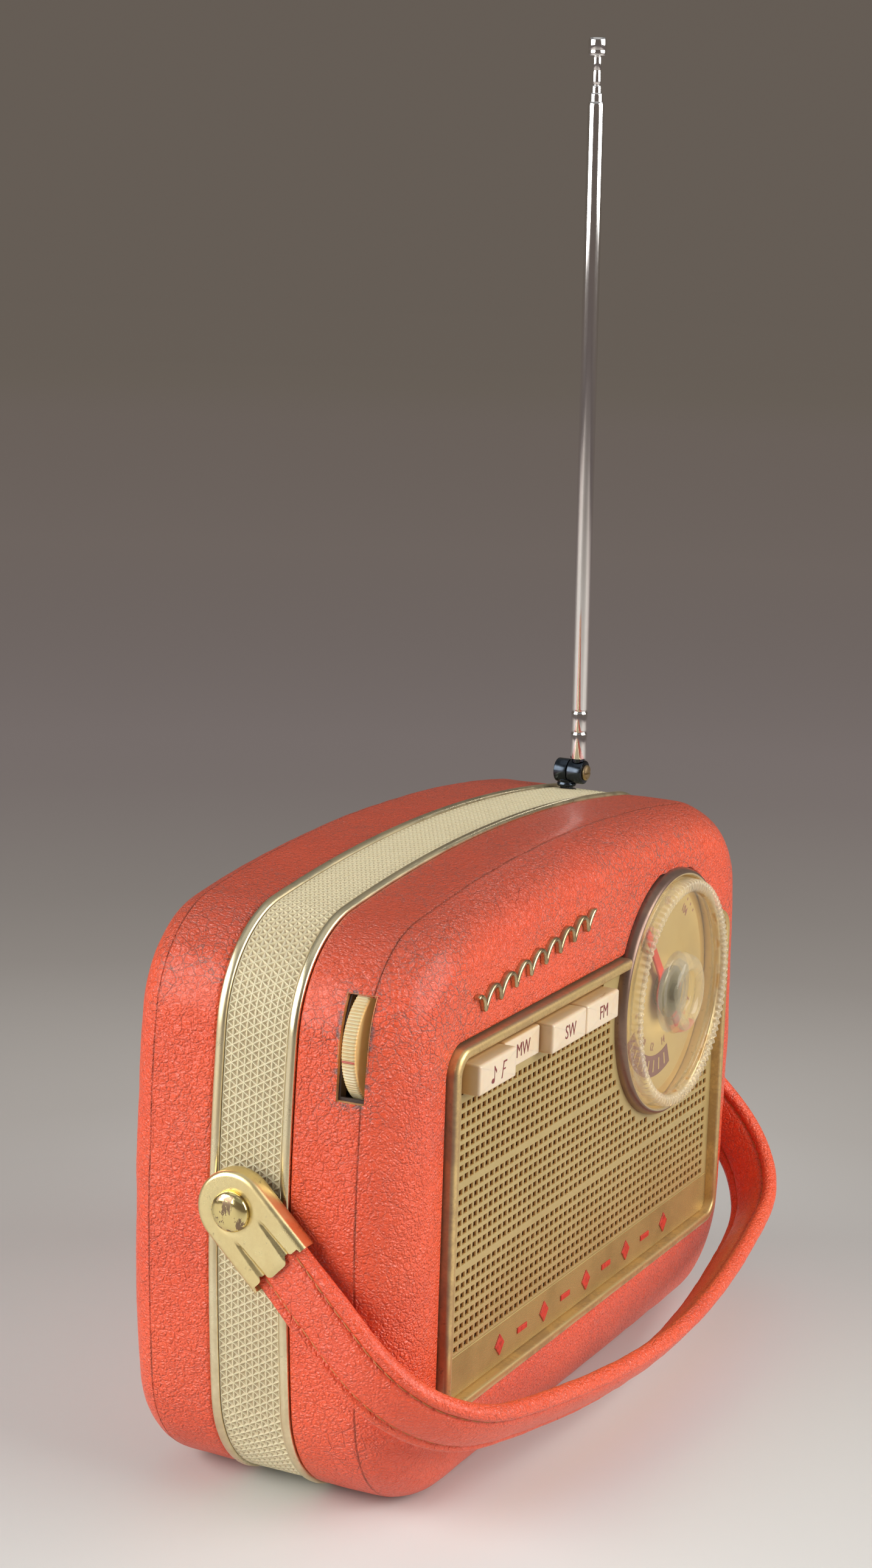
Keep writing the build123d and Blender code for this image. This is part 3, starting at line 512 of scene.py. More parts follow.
# =====================================================================
# shared materials
# =====================================================================
def leather(name, grain=1.0, worn_and_shaded_top=True, opening=None):
    """Pebbled red leather; opening is (y0, y1, z0, z1) of a rubbed edge on the -X side."""
    look = Look(name)
    wobble = look.node("TexNoise", {"Vector": look.place, "Scale": 260, "Detail": 3}, "Color")
    warped = look.node("VectorMath", {0: wobble, 1: (0.0017,) * 3, 2: look.place},
                       operation="MULTIPLY_ADD")
    stretched = look.mapping(scale=(1.0, 0.72, 1.0), turn=(0.35, 0.0, 0.0), vector=warped)
    pebble = look.cells(scale=1020, vector=stretched)
    small_pebble = look.cells(scale=1900, vector=stretched)
    wrinkle_map = look.mapping(scale=(1.0, 0.8, 1.0), turn=(0.2, 0.1, 0.3), vector=warped)
    wrinkle = look.cells(scale=430, vector=wrinkle_map)
    fold_map = look.mapping(scale=(1, 1, 0.8), turn=(0.2, 0.3, 0.4), vector=warped)
    fold = look.cells(scale=150, vector=fold_map)
    folds = look.fall(fold, over=(0.0, 0.045)) * look.ramp(look.noise(scale=55, detail=2),
                                                           over=(0.47, 0.66))
    height = (look.ramp(pebble, over=(0.0, 0.42)) * 1.0
              + look.ramp(small_pebble, over=(0.0, 0.40)) * 0.22
              + look.ramp(wrinkle, over=(0.0, 0.16)) * 0.55
              + look.noise(scale=420) * 0.85
              + look.noise(scale=2400, rough=0.6) * 0.12
              - folds * 0.9)
    normal = look.bump(height, depth=0.00030 * grain, strength=0.95)
    normal = look.bump(look.noise(scale=28, rough=0.5), depth=0.0012, strength=0.25,
                       normal=normal)

    valley = (look.fall(pebble, over=(0.0, 0.14)) + look.fall(wrinkle, over=(0.0, 0.05))) * 0.5
    colour = look.mix((0.88, 0.104, 0.032), to=(0.62, 0.040, 0.016), by=valley * 0.45)
    colour = look.mix(colour, to=(0.66, 0.044, 0.018),
                      by=look.ramp(look.noise(scale=34), over=(0.35, 0.7)) * 0.22)

    # dirt settled in the valleys, mostly on the upper shoulders and round the opening
    patch = look.ramp(look.noise(scale=30, rough=0.6), over=(0.38, 0.58))
    if worn_and_shaded_top:
        x, y, z = look.xyz()
        shoulder = look.ramp(z, over=(0.085, 0.168), to=(0.30, 1.0))
        patch = (patch + shoulder * 0.35) * shoulder
    else:
        patch = patch * 0.40
    if opening:
        y0, y1, z0, z1 = (v * 0.001 for v in opening)
        distance = look.math("MAXIMUM", abs(y - (y0 + y1) / 2) - (y1 - y0) / 2,
                             abs(z - (z0 + z1) / 2) - (z1 - z0) / 2)
        side = look.fall(x, over=(-0.112, -0.110))
        near = look.fall(distance, over=(0.0002, 0.0095)) * side
        rubbed = look.fall(distance, over=(0.0004, 0.0020)) * look.ramp(
            look.noise(scale=310, detail=4, rough=0.6), over=(0.50, 0.60)) * side
        patch = look.math("MAXIMUM", patch, near)
    coarse_lines = look.math("MAXIMUM", look.fall(wrinkle, over=(0.0, 0.05)),
                             look.fall(fold, over=(0.0, 0.02)) * 0.8)
    lines = look.math("MAXIMUM", look.fall(pebble, over=(0.0, 0.05)) * 0.35, coarse_lines)
    dirt = look.math("MULTIPLY", lines, patch, clamp=True)
    colour = look.mix(colour, to=(0.19, 0.105, 0.085), by=dirt * 0.80)
    if worn_and_shaded_top:
        # faces turned upwards are painted darker: painted shade on the top of the case
        up = look.normal_xyz()[2]
        colour = look.mix(colour, to=(0.34, 0.046, 0.020),
                          by=look.ramp(up, over=(0.30, 0.95)) * 0.68)

    # pale pink specks painted on the grain: painted highlights
    glint_specks = (look.ramp(look.noise(scale=900, detail=4, rough=0.7), over=(0.66, 0.71))
              * look.ramp(look.noise(scale=70, rough=0.6), over=(0.50, 0.64)))
    colour = look.mix(colour, to=(0.80, 0.52, 0.42), by=glint_specks * 0.55)
    if opening:
        colour = look.mix(colour, to=(0.115, 0.105, 0.105), by=rubbed * 0.80)
    # the seam attribute darkens the seam groove, the stitch grooves of the strap and, as painted
    # shade, the inner rows of the rolled window edge
    seam = look.attribute("seam") * look.ramp(look.noise(scale=90, rough=0.6),
                                              over=(0.38, 0.60), to=(0.35, 1.0))
    colour = look.mix(colour, to=(0.19, 0.045, 0.018),
                      by=look.math("MULTIPLY", seam, 0.80, clamp=True))
    return look.surface(colour, roughness=look.noise(scale=120) * 0.14 + 0.27 + valley * 0.24,
                        normal=normal, Specular_IOR_Level=0.62, Coat_Weight=0.22,
                        Coat_Roughness=0.24)


def metal(name, base, rough, wear, scale, dark=None, rough_gain=0.15, metallic=1.0,
          spot_colour=None, spots=0.0):
    """Worn metal: dark patches, rougher where worn, with optional spots."""
    look = Look(name)
    dark = dark or tuple(c * 0.45 for c in base)
    broad = look.noise(scale=scale, detail=6, rough=0.62, distortion=0.4)
    fine = look.noise(scale=scale * 14, detail=4, rough=0.7)
    worn = look.ramp(broad + fine * 0.25, over=(0.52, 0.78))
    colour = look.mix(base, to=dark, by=worn * wear)
    if spot_colour:
        spotted = look.ramp(look.noise(scale=scale * 5, detail=5, rough=0.7), over=(0.62, 0.72))
        colour = look.mix(colour, to=spot_colour, by=spotted * spots)
    return look.surface(colour, roughness=worn * rough_gain + rough, metallic=metallic,
                        normal=look.bump(fine + broad * 1.5, depth=0.00003, strength=0.5))


def plastic(name, base, rough=0.32, dark=None, bump=0.00004, scale=90, variation=0.25):
    look = Look(name)
    dark = dark or tuple(c * 0.7 for c in base)
    broad = look.noise(scale=scale, detail=4, rough=0.6)
    fine = look.noise(scale=scale * 16, rough=0.6)
    colour = look.mix(base, to=dark, by=look.ramp(broad, over=(0.4, 0.72)) * variation)
    return look.surface(colour, roughness=fine * 0.16 + (rough - 0.06),
                        normal=look.bump(fine + broad, depth=bump, strength=0.6))


BACK_LEATHER = leather("red_leather")
FRONT_LEATHER = leather("red_leather_front", opening=(SLOT_Y0, SLOT_Y1, SLOT_Z0, SLOT_Z1))
STRAP_LEATHER = leather("strap_leather", grain=0.8, worn_and_shaded_top=False)
TRIM_GOLD = metal("pale_gold", base=(0.88, 0.78, 0.52), dark=(0.60, 0.47, 0.26), rough=0.26,
                  wear=0.5, scale=40, spot_colour=(0.35, 0.26, 0.15), spots=0.5)
CLIP_GOLD = metal("clip_gold", base=(0.90, 0.76, 0.40), dark=(0.64, 0.48, 0.21), rough=0.27,
                  wear=0.4, scale=50, spot_colour=(0.22, 0.14, 0.09), spots=0.55)
BRASS = metal("aged_brass", base=(0.58, 0.44, 0.22), dark=(0.20, 0.13, 0.10), rough=0.26,
              wear=0.85, scale=75, rough_gain=0.25, spot_colour=(0.16, 0.10, 0.08), spots=0.55)
BADGE_BRASS = metal("badge_brass", base=(0.60, 0.47, 0.27), dark=(0.22, 0.14, 0.08),
                    rough=0.20, wear=0.6, scale=90)
STEEL = metal("turned_steel", base=(0.55, 0.55, 0.56), rough=0.28, wear=0.3, scale=60)
ALUMINIUM = metal("pressed_aluminium", base=(0.72, 0.73, 0.75), rough=0.34, wear=0.3, scale=80)
BLACK_CHROME = metal("black_nickel", base=(0.060, 0.075, 0.095), dark=(0.02, 0.025, 0.035),
                     rough=0.16, wear=0.5, scale=80, rough_gain=0.1)
MAGNET = metal("magnet_grey", base=(0.10, 0.10, 0.105), rough=0.55, wear=0.4, scale=70,
               metallic=0.5)
FERRITE = plastic("ferrite_grey", base=(0.055, 0.055, 0.06), rough=0.55, bump=0.00008, scale=200)
CASE = plastic("case_moulding", base=(0.055, 0.035, 0.026), rough=0.5, bump=0.00008, scale=120)
PHENOLIC = plastic("phenolic", base=(0.10, 0.055, 0.03), rough=0.42, bump=0.00006, scale=120)
DRUM_WHITE = plastic("drum_white", base=(0.62, 0.58, 0.50), rough=0.4)
CAP_BLUE = plastic("cap_blue", base=(0.03, 0.07, 0.22), rough=0.3)
POINTER_RED = plastic("pointer_red", base=(0.66, 0.045, 0.035), rough=0.3)
MAROON = plastic("maroon_print", base=(0.20, 0.035, 0.035), dark=(0.30, 0.08, 0.07), rough=0.5)
FADED_MAROON = plastic("faded_print", base=(0.36, 0.16, 0.15), dark=(0.50, 0.28, 0.20), rough=0.5)
PURPLE = plastic("purple_print", base=(0.20, 0.075, 0.085), dark=(0.30, 0.13, 0.12), rough=0.45)
THREAD = plastic("tan_thread", base=(0.56, 0.21, 0.07), dark=(0.30, 0.08, 0.03), rough=0.6,
                 bump=0.0001, scale=900)
RAW_EDGE = plastic("raw_edge", base=(0.60, 0.31, 0.13), dark=(0.20, 0.11, 0.06), rough=0.7,
                   bump=0.0002, scale=260, variation=0.6)


# =====================================================================
# leather skins of the two shells
# =====================================================================
SKIN_START = BAND_HALF + 3.0 + 0.05               # distance of the free edge from y = 0
FREE_EDGE = ((1.15, 0.05), (0.75, 0.10), (0.30, 0.35), (0.06, 0.9))  # inset, step from start
SEAM_ROWS = (                                     # step from the seam, seam value, height
    (-0.55, 0.0, 0.05), (-0.22, 0.5, 0.06), (0.0, 1.0, -0.38), (0.22, 0.5, 0.06),
    (0.55, 0.0, 0.05))
SEAM_CRACK = 0.16                                 # extra seam depth in the upper -X corner
FACE_STEP = 1.6


def hole_shape(growth):
    """Radius of the dial hole, and the window rectangle with its corner radius."""
    return RING_R + 0.35 + growth, (
        BEZEL_X0 - 0.5 - growth, BEZEL_X1 + 0.5 + growth,
        BEZEL_Z0 - 0.5 - growth, BEZEL_Z1 + 0.5 + growth, BEZEL_R + 0.5 + growth)


def hole_loop(growth, step=1.0):
    """Edge of the front cut-out: the bezel window joined with the round dial hole."""
    radius, window = hole_shape(growth)
    window_points, window_normals = rounded_rect(*window, step)
    top = window[3]
    half = math.sqrt(radius * radius - (top - DIAL_Z) ** 2)
    outside = np.hypot(window_points[:, 0] - DIAL_X, window_points[:, 1] - DIAL_Z) > radius + 0.15
    # the loop runs anticlockwise, so the arc follows the last point on the +X side of the dial
    last = max(i for i in np.where(outside)[0]
               if (window_points[i, 0] > DIAL_X and window_points[i, 1] > top - 0.01)
               or (window_points[i, 0] > DIAL_X + half and window_points[i, 1] > DIAL_Z))
    start = math.atan2(top - DIAL_Z, half)
    span = math.pi - 2 * start
    count = int(radius * span / step)
    points, normals = [], []
    for i in range(len(window_points)):
        if outside[i]:
            points.append(tuple(window_points[i]))
            normals.append(tuple(window_normals[i]))
        if i == last:
            for j in range(count + 1):
                nx, nz = math.cos(start + span * j / count), math.sin(start + span * j / count)
                points.append((DIAL_X + radius * nx, DIAL_Z + radius * nz))
                normals.append((nx, nz))
    return np.array(points), np.array(normals)


def inside_hole(point, growth):
    x, z = point
    radius, (x0, x1, z0, z1, corner) = hole_shape(growth)
    if math.hypot(x - DIAL_X, z - DIAL_Z) < radius:
        return True
    if not (x0 < x < x1 and z0 < z < z1):
        return False
    near_x = min(max(x, x0 + corner), x1 - corner)
    near_z = min(max(z, z0 + corner), z1 - corner)
    return math.hypot(x - near_x, z - near_z) < corner


def relief(point):
    """Slow unevenness of the covering."""
    v = Vector(point)
    return noise.noise(v / 17.0) * 0.26 + noise.noise(v / 7.0 + Vector((9, 2, 5))) * 0.12


def skin_rows(side):
    """Rows (inset, distance from y = 0, seam value) from the band to the face."""
    face_y, rounding, seam = SKINS[side]
    wall_start, wall_end = SKIN_START + 1.6, abs(face_y) - rounding

    def inset_at(depth):
        if depth <= wall_end:
            return 0.0
        return rounding - math.sqrt(max(0.0, rounding * rounding - (depth - wall_end) ** 2))

    rows = [(inset, SKIN_START + step, 0.0) for inset, step in FREE_EDGE]
    rows += [(0.0, depth, 0.0) for depth in np.arange(wall_start, wall_end, 1.0)]
    count = int(rounding * math.pi / 2 / 0.95)
    for i in range(count + 1):
        a = math.pi / 2 * i / count
        rows.append((rounding * (1 - math.cos(a)), wall_end + rounding * math.sin(a), 0.0))
    # exact rows for the seam and, on the front, the edges of the opening
    inner_rows = [seam + step for step, _, _ in SEAM_ROWS[1:-1]]
    rows = [r for r in rows if not any(abs(r[1] - depth) < 0.4 for depth in inner_rows)]
    for step, value, height in SEAM_ROWS:
        rows.append((inset_at(seam + step) - height, seam + step, value))
    if side < 0:
        for depth in (abs(SLOT_Y0), abs(SLOT_Y1)):
            rows = [r for r in rows if abs(r[1] - depth) > 0.45]
            rows.append((inset_at(depth), depth, 0.0))
    head = [r for r in rows if r[1] < wall_start - 0.01]
    tail = [r for r in rows if r[1] >= wall_start - 0.01]
    return head + sorted(tail, key=lambda r: (round(r[1], 5), r[0]))


def skin_outline(side):
    points, normals, _, _ = outline(1.0)
    if side < 0:      # columns that sit exactly on the ends of the opening
        for z in (SLOT_Z0, SLOT_Z1):
            left = np.where(points[:, 0] < -100)[0]
            i = left[np.argmin(np.abs(points[left, 1] - z))]
            j = i + 1 if (points[i + 1, 1] - z) * (points[i, 1] - z) < 0 else i - 1
            f = (z - points[i, 1]) / (points[j, 1] - points[i, 1])
            points[i] = points[i] + (points[j] - points[i]) * f
            normals[i] = normals[i] + (normals[j] - normals[i]) * f
    return points, normals


def skin_wall(side, points, normals):
    """Vertices, seam values and faces from the band round to the face."""
    face_y, rounding, _ = SKINS[side]
    wall_end = abs(face_y) - rounding
    rows = skin_rows(side)
    verts, seams = [], []
    for inset, depth, seam in rows:
        y = side * depth
        fade = 1.0 if inset < rounding * 0.8 else max(0.0, (rounding - inset) / (rounding * 0.2))
        edge = min(1.0, abs(depth - SKIN_START) / 5.0)
        # parts of the surface normal along Y and in the outline plane
        along_y = min(1.0, max(0.0, (depth - wall_end) / rounding))
        in_plane = math.sqrt(max(0.0, 1 - along_y * along_y))
        for point, normal in zip(points, normals):
            x, z = point - normal * inset
            base = 0.0 if z < 3.0 and abs(x) < LOW_CORNER[0] else 1.0
            swell = relief((x, y, z)) * fade * edge * base
            px = x + normal[0] * swell * in_plane
            pz = z + normal[1] * swell * in_plane
            if seam >= 1.0 and x < -100 and z > 150:
                px -= normal[0] * SEAM_CRACK
                pz -= normal[1] * SEAM_CRACK
            verts.append((px, y + side * swell * along_y, pz))
            seams.append(seam)
    columns = len(points)

    def in_opening(face):
        y = 0.5 * side * (rows[face[0] // columns][1] + rows[face[2] // columns][1])
        a, b = face[0] % columns, face[1] % columns
        z = 0.5 * (points[a, 1] + points[b, 1])
        return SLOT_Y0 < y < SLOT_Y1 and SLOT_Z0 < z < SLOT_Z1 and points[a, 0] < 0

    faces = grid_faces(len(rows), columns, wrap_c=True)
    if side < 0:
        faces = [f for f in faces if not in_opening(f)]
    return verts, seams, faces


def closed_edges(first, count):
    return [(first + i, first + (i + 1) % count) for i in range(count)]


def fill_face(side, points, normals, hole):
    """Vertices and faces of the flat face, triangulated round the hole if there is one."""
    face_y, rounding, _ = SKINS[side]
    rim = points - normals * rounding
    sites = [Vector(p) for p in rim]
    edges = closed_edges(0, len(rim))
    if hole is not None:
        edges += closed_edges(len(sites), len(hole))
        sites += [Vector(p) for p in hole]
    for grid_x in np.arange(-HALF_W + rounding, HALF_W - rounding, FACE_STEP):
        for grid_z in np.arange(rounding, TOP_Z - rounding, FACE_STEP):
            x, z = grid_x + rng.uniform(-0.25, 0.25), grid_z + rng.uniform(-0.25, 0.25)
            if hole is not None and inside_hole((x, z), HOLE_GROWTH + 0.8):
                continue
            distance = np.hypot(rim[:, 0] - x, rim[:, 1] - z)
            i = int(np.argmin(distance))
            if distance[i] < 1.0 or np.dot(rim[i] - np.array([x, z]), normals[i]) < 0.5:
                continue
            sites.append(Vector((x, z)))
    result = delaunay_2d_cdt(sites, edges, [], 1, 1e-5)
    flat, triangles = result[0], result[2]
    verts = []
    for x, z in flat:
        to_rim = float(np.min(np.hypot(rim[:, 0] - x, rim[:, 1] - z)))
        swell = relief((x, face_y, z)) * min(1.0, to_rim / 6.0)
        if hole is not None:
            # the padding swells softly beside the window
            to_hole = float(np.min(np.hypot(hole[:, 0] - x, hole[:, 1] - z)))
            pad = 0.35 * min(1.0, to_rim / 6.0) * math.exp(-((to_hole - 3.5) / 3.0) ** 2)
            swell = swell * min(1.0, to_hole / 2.0) + pad
        verts.append((x, face_y + side * swell, z))
    faces = []
    for f in triangles:
        middle = sum((flat[i] for i in f), Vector((0, 0))) / len(f)
        if hole is None or not inside_hole(middle, 0.88):
            faces.append(f)
    return verts, faces


def shell_skin(name, side, material, **role):
    points, normals = skin_outline(side)
    verts, seams, faces = skin_wall(side, points, normals)
    hole, hole_normals = hole_loop(HOLE_GROWTH) if side < 0 else (None, None)
    face_verts, triangles = fill_face(side, points, normals, hole)
    base = len(verts)
    faces += [tuple(base + i for i in f) for f in triangles]
    verts += face_verts
    seams += [0.0] * len(face_verts)
    if side < 0:
        # rolled edge of the window, down past the leather thickness: (growth, depth)
        roll = ((0.9, 0.0), (0.45, 0.16), (0.12, 0.55), (0.0, 1.3), (0.0, 2.2))
        base = len(verts)
        for growth, depth in roll:
            for (x, z), (nx, nz) in zip(hole, hole_normals):
                inset = HOLE_GROWTH - growth
                verts.append((x - nx * inset, Y_FRONT - side * depth, z - nz * inset))
                # the deeper rows get a seam value, which paints the rolled edge darker: painted
                # shade in the gap beside the bezel
                seams.append(0.0 if depth < 0.5 else 0.6)
        faces += grid_faces(len(roll), len(hole), wrap_c=True, base=base)
    ob = make(name, verts, faces, material, **role)
    set_attribute(ob, "seam", seams)
    tidy(ob, merge=2e-5, drop_loose=True, centre=(0, 0, 0.09))


def slot_liner():
    """Raw edge of board and leather inside the opening for the volume wheel."""
    round_start = 30.0                            # distance from y = 0 of the front rounding

    def surface_x(y, z):
        x = -(SIDE_CENTRE[0] + math.sqrt(SIDE_R ** 2 - (z - SIDE_CENTRE[1]) ** 2))
        if z > TOP_CORNER[1]:
            rise = z - TOP_CORNER[1]
            if math.atan2(rise, -x - TOP_CORNER[0]) > SIDE_TOP_ANGLE:
                x = -(TOP_CORNER[0] + math.sqrt(max(0.0, TOP_CORNER_R ** 2 - rise ** 2)))
        past = max(0.0, -round_start - y)
        return x + (FRONT_ROUND - math.sqrt(FRONT_ROUND ** 2 - past * past))

    y0, y1, z0, z1 = SLOT_Y0, SLOT_Y1, SLOT_Z0, SLOT_Z1
    short, long = 12, 36
    loop = [(y0 + (y1 - y0) * i / short, z0) for i in range(short)]
    loop += [(y1, z0 + (z1 - z0) * i / long) for i in range(long)]
    loop += [(y1 + (y0 - y1) * i / short, z1) for i in range(short)]
    loop += [(y0, z1 + (z0 - z1) * i / long) for i in range(long)]
    mid_y, mid_z = (y0 + y1) / 2, (z0 + z1) / 2

    def spread(value, middle, half, amount):
        if abs(abs(value - middle) - half) >= 1e-6:
            return value
        return value + (amount if value > middle else -amount)

    # step into the case, outward spread
    rings = ((-0.04, 0.35), (0.05, 0.12), (0.5, 0.0), (1.2, -0.08), (1.9, 0.05), (4.2, 0.1))
    verts = []
    for inward, amount in rings:
        for y, z in loop:
            rough = 0.0
            if 0.2 < inward < 3:
                rough = noise.noise(Vector((y * 0.7, z * 0.7, inward))) * 0.16
            verts.append((surface_x(y, z) + inward,
                          spread(y, mid_y, (y1 - y0) / 2, amount) + rough * 0.5,
                          spread(z, mid_z, (z1 - z0) / 2, amount)))
    ob = make("slot_liner", verts, grid_faces(len(rings), len(loop), wrap_c=True), RAW_EDGE,
              angle=40, body="case", slot="case_moulding")
    tidy(ob, centre=(-0.122, mid_y * MM, mid_z * MM), outward=False)


shell_skin("front_skin", -1, FRONT_LEATHER, body="case", slot="red_leather",
           replaces=("front_leather",))
slot_liner()
shell_skin("back_skin", 1, BACK_LEATHER, body="back_cover", slot="red_leather",
           replaces=("back_leather",))


# =====================================================================
# centre band: raised triangular lattice, and the two trims
# =====================================================================
def lattice_material():
    look = Look("cream_lattice")
    grime = look.ramp(look.noise(scale=45, detail=4, rough=0.6), over=(0.42, 0.7))
    # pits, found by ambient occlusion, and faces turned upwards are painted darker: painted shade
    openness = look.node("AmbientOcclusion", {"Distance": 0.0011}, "AO", samples=6)
    pit = look.fall(openness, over=(0.35, 0.85))
    up = look.ramp(look.normal_xyz()[2], over=(0.25, 0.85))
    colour = look.mix((0.78, 0.72, 0.49), to=(0.62, 0.53, 0.33), by=grime * 0.25)
    colour = look.mix(colour, to=(0.42, 0.37, 0.24), by=up * 0.75)
    colour = look.mix(colour, to=(0.34, 0.20, 0.105), by=pit * 0.78)
    return look.surface(
        colour, roughness=look.ramp(look.noise(scale=400), over=(0.3, 0.7), to=(0.34, 0.5)),
        normal=look.bump(look.noise(scale=2200), depth=0.00004, strength=0.4),
        Subsurface_Weight=0.12, Subsurface_Radius=(0.5, 0.35, 0.2), Subsurface_Scale=0.001)


def band_lattice():
    cell, columns, ridge_inset = 2.5, 9, 0.12
    # share of the way to the pit centre, height against the ridge
    pit_levels = ((0.0, 0.0), (0.16, -0.03), (0.30, -0.17), (0.80, -0.56))
    points, normals, lengths, total = outline(0.25)
    cells = int(round(total / cell))
    pitch = total / cells
    width = pitch * math.sqrt(3) / 2 * 0.985
    half = columns * width / 2
    verts, faces = [], []

    def band_point(along, y, height):
        along = along % total
        i = np.searchsorted(lengths, along, side="right") - 1
        j = (i + 1) % len(points)
        f = (along - lengths[i]) / ((lengths[j] if j else total) - lengths[i])
        p = points[i] + (points[j] - points[i]) * f
        n = normals[i] + (normals[j] - normals[i]) * f
        inset = ridge_inset - height
        return (p[0] - n[0] * inset, y, p[1] - n[1] * inset)

    def pit(*corners):
        """One triangular pit: ridge rim, slope and bottom."""
        a, b, c = corners
        middle = ((a[0] + b[0] + c[0]) / 3, (a[1] + b[1] + c[1]) / 3)
        base = len(verts)
        for share, height in pit_levels:
            for q in corners:
                verts.append(band_point(q[0] + (middle[0] - q[0]) * share,
                                        q[1] + (middle[1] - q[1]) * share, height))
        faces.extend(grid_faces(len(pit_levels), 3, wrap_c=True, base=base))
        bottom = base + 3 * (len(pit_levels) - 1)
        faces.append((bottom, bottom + 1, bottom + 2))

    for column in range(columns):
        y0, y1 = -half + column * width, -half + (column + 1) * width
        for i in range(cells):
            start, middle = (i * pitch), (i + 0.5) * pitch
            end, next_middle = (i + 1) * pitch, (i + 1.5) * pitch
            if column % 2 == 0:
                pit((start, y0), (end, y0), (middle, y1))
                pit((end, y0), (next_middle, y1), (middle, y1))
            else:
                pit((middle, y0), (next_middle, y0), (end, y1))
                pit((middle, y0), (end, y1), (start, y1))
    # plain margins beside the lattice and the inner wall: (y, inset)
    wall = BAND_HALF - 0.1
    profile = [(half - 0.02, 0.14), (wall, 0.20), (wall, 2.9),
               (-wall, 2.9), (-wall, 0.20), (-half + 0.02, 0.14)]
    base = len(verts)
    picked = range(0, len(points), 4)
    for y, inset in profile:
        for i in picked:
            verts.append((points[i, 0] - normals[i, 0] * inset, y,
                          points[i, 1] - normals[i, 1] * inset))
    faces += grid_faces(len(profile), len(picked), wrap_c=True, base=base)
    ob = make("band_lattice", verts, faces, lattice_material(), smooth=False,
              body="case", slot="cream_band", replaces=("centre_band",))
    tidy(ob, merge=3e-6)


def trim(name, side):
    """Gold strip round the case beside the band, flat where it meets the floor."""
    y0, y1 = BAND_HALF + 0.06, BAND_HALF + 2.96
    centre, half = (y0 + y1) / 2, (y1 - y0) / 2
    profile = []                                  # (inset, y)
    for i in range(15):
        a = math.pi * i / 14
        profile.append((-0.80 + 1.15 * (1 - math.sin(a) ** 0.7),
                        side * (centre + half * math.cos(a))))
    profile += [(1.2, side * y0), (2.9, side * y0), (2.9, side * y1), (1.2, side * y1)]
    points, normals, _, _ = outline(1.2)
    verts = []
    for inset, y in profile:
        for point, normal in zip(points, normals):
            x, z = point - normal * inset
            verts.append((x, y, max(z, 0.0)))
    ob = make(name + "_piece", verts,
              grid_faces(len(profile), len(points), wrap_c=True, wrap_r=True), TRIM_GOLD,
              body="case", slot="gold_trim", replaces=(name,))
    tidy(ob)
    sharpen(ob, 50)


band_lattice()
trim("front_trim", -1)
trim("rear_trim", 1)


# =====================================================================
# bezel, grille, cloth, ribbed strip
# =====================================================================
def bezel_material():
    look = Look("bezel_brass")
    broad = look.noise(scale=70, detail=6, rough=0.62, distortion=0.4)
    fine = look.noise(scale=900, detail=4, rough=0.7)
    worn = look.ramp(broad + fine * 0.3, over=(0.54, 0.80))
    colour = look.mix((0.76, 0.55, 0.24), to=(0.40, 0.26, 0.125), by=worn * 0.72)
    rim = look.ramp(look.attribute("rim") + broad * 0.5, over=(0.70, 1.20))
    colour = look.mix(colour, to=(0.25, 0.165, 0.135), by=rim * 0.62)
    spots = look.ramp(look.noise(scale=420, detail=5, rough=0.75), over=(0.62, 0.70))
    colour = look.mix(colour, to=(0.12, 0.08, 0.06), by=spots * 0.6)
    return look.surface(colour, roughness=worn * 0.20 + 0.34,
                        metallic=look.ramp(spots, over=(0.0, 1.0), to=(0.72, 0.5)),
                        normal=look.bump(fine + broad * 1.5, depth=0.00005, strength=0.5))


def bezel():
    front, back, rounding = Y_FRONT - 3.0, -46.3, 1.5
    profile = [(0.0, back), (0.0, front + rounding)]     # (inset, y)
    for i in range(1, 7):
        a = math.pi / 2 * i / 6
        profile.append((rounding * (1 - math.cos(a)), front + rounding * (1 - math.sin(a))))
    profile += [(2.1, front + 0.02), (2.75, front + 0.12), (3.05, front + 0.45),
                (BEZEL_W, front + 0.95), (BEZEL_W, back)]
    points, normals = rounded_rect(BEZEL_X0, BEZEL_X1, BEZEL_Z0, BEZEL_Z1, BEZEL_R, 1.2)
    verts = [(p[0] - n[0] * inset, y, p[1] - n[1] * inset)
             for inset, y in profile for p, n in zip(points, normals)]
    ob = make("bezel_frame", verts,
              grid_faces(len(profile), len(points), wrap_c=True, wrap_r=True),
              bezel_material(), body="case", slot="aged_brass", replaces=("front_bezel",))
    fix_normals(ob)

    # round bite for the dial ring
    count, radius = 240, RING_R + 0.13
    circle = np.linspace(0, 2 * math.pi, count, endpoint=False)
    subtract(ob, [(DIAL_X + radius * math.cos(a), y, DIAL_Z + radius * math.sin(a))
                  for y in (-60, -40) for a in circle],
             [tuple(range(count)), tuple(range(2 * count - 1, count - 1, -1))]
             + [(i, (i + 1) % count, count + (i + 1) % count, count + i) for i in range(count)])

    rim = []
    for v in ob.data.vertices:
        x, z = v.co.x * 1000, v.co.z * 1000
        edge = min(x - BEZEL_X0, BEZEL_X1 - x, z - BEZEL_Z0, BEZEL_Z1 - z)
        rim.append(max(0.0, 1 - edge / 1.4))
    set_attribute(ob, "rim", rim)
    shade_smooth(ob)
    sharpen(ob, 45)


# pierced plate: three groups of eight rows of slots, and one opening for the keys
GRILLE_X0, GRILLE_X1 = BEZEL_X0 + BEZEL_W, BEZEL_X1 - BEZEL_W
GRILLE_Z0, GRILLE_Z1 = 45.0, BEZEL_Z1 - BEZEL_W
ROW_Z0, ROW_PITCH, ROW_BAR, ROW_H = 46.6, 3.05, 0.96, 1.95
COLUMN_X0, COLUMN_PITCH, COLUMN_W, COLUMN_COUNT = -93.9, 3.3, 2.62, 57
KEYS_X0, KEYS_X1, KEYS_Z0, KEYS_Z1 = -91.5, 4.4, 122.15, 131.85
PLATE_Y, PLATE_BEVEL = -47.6, 0.13


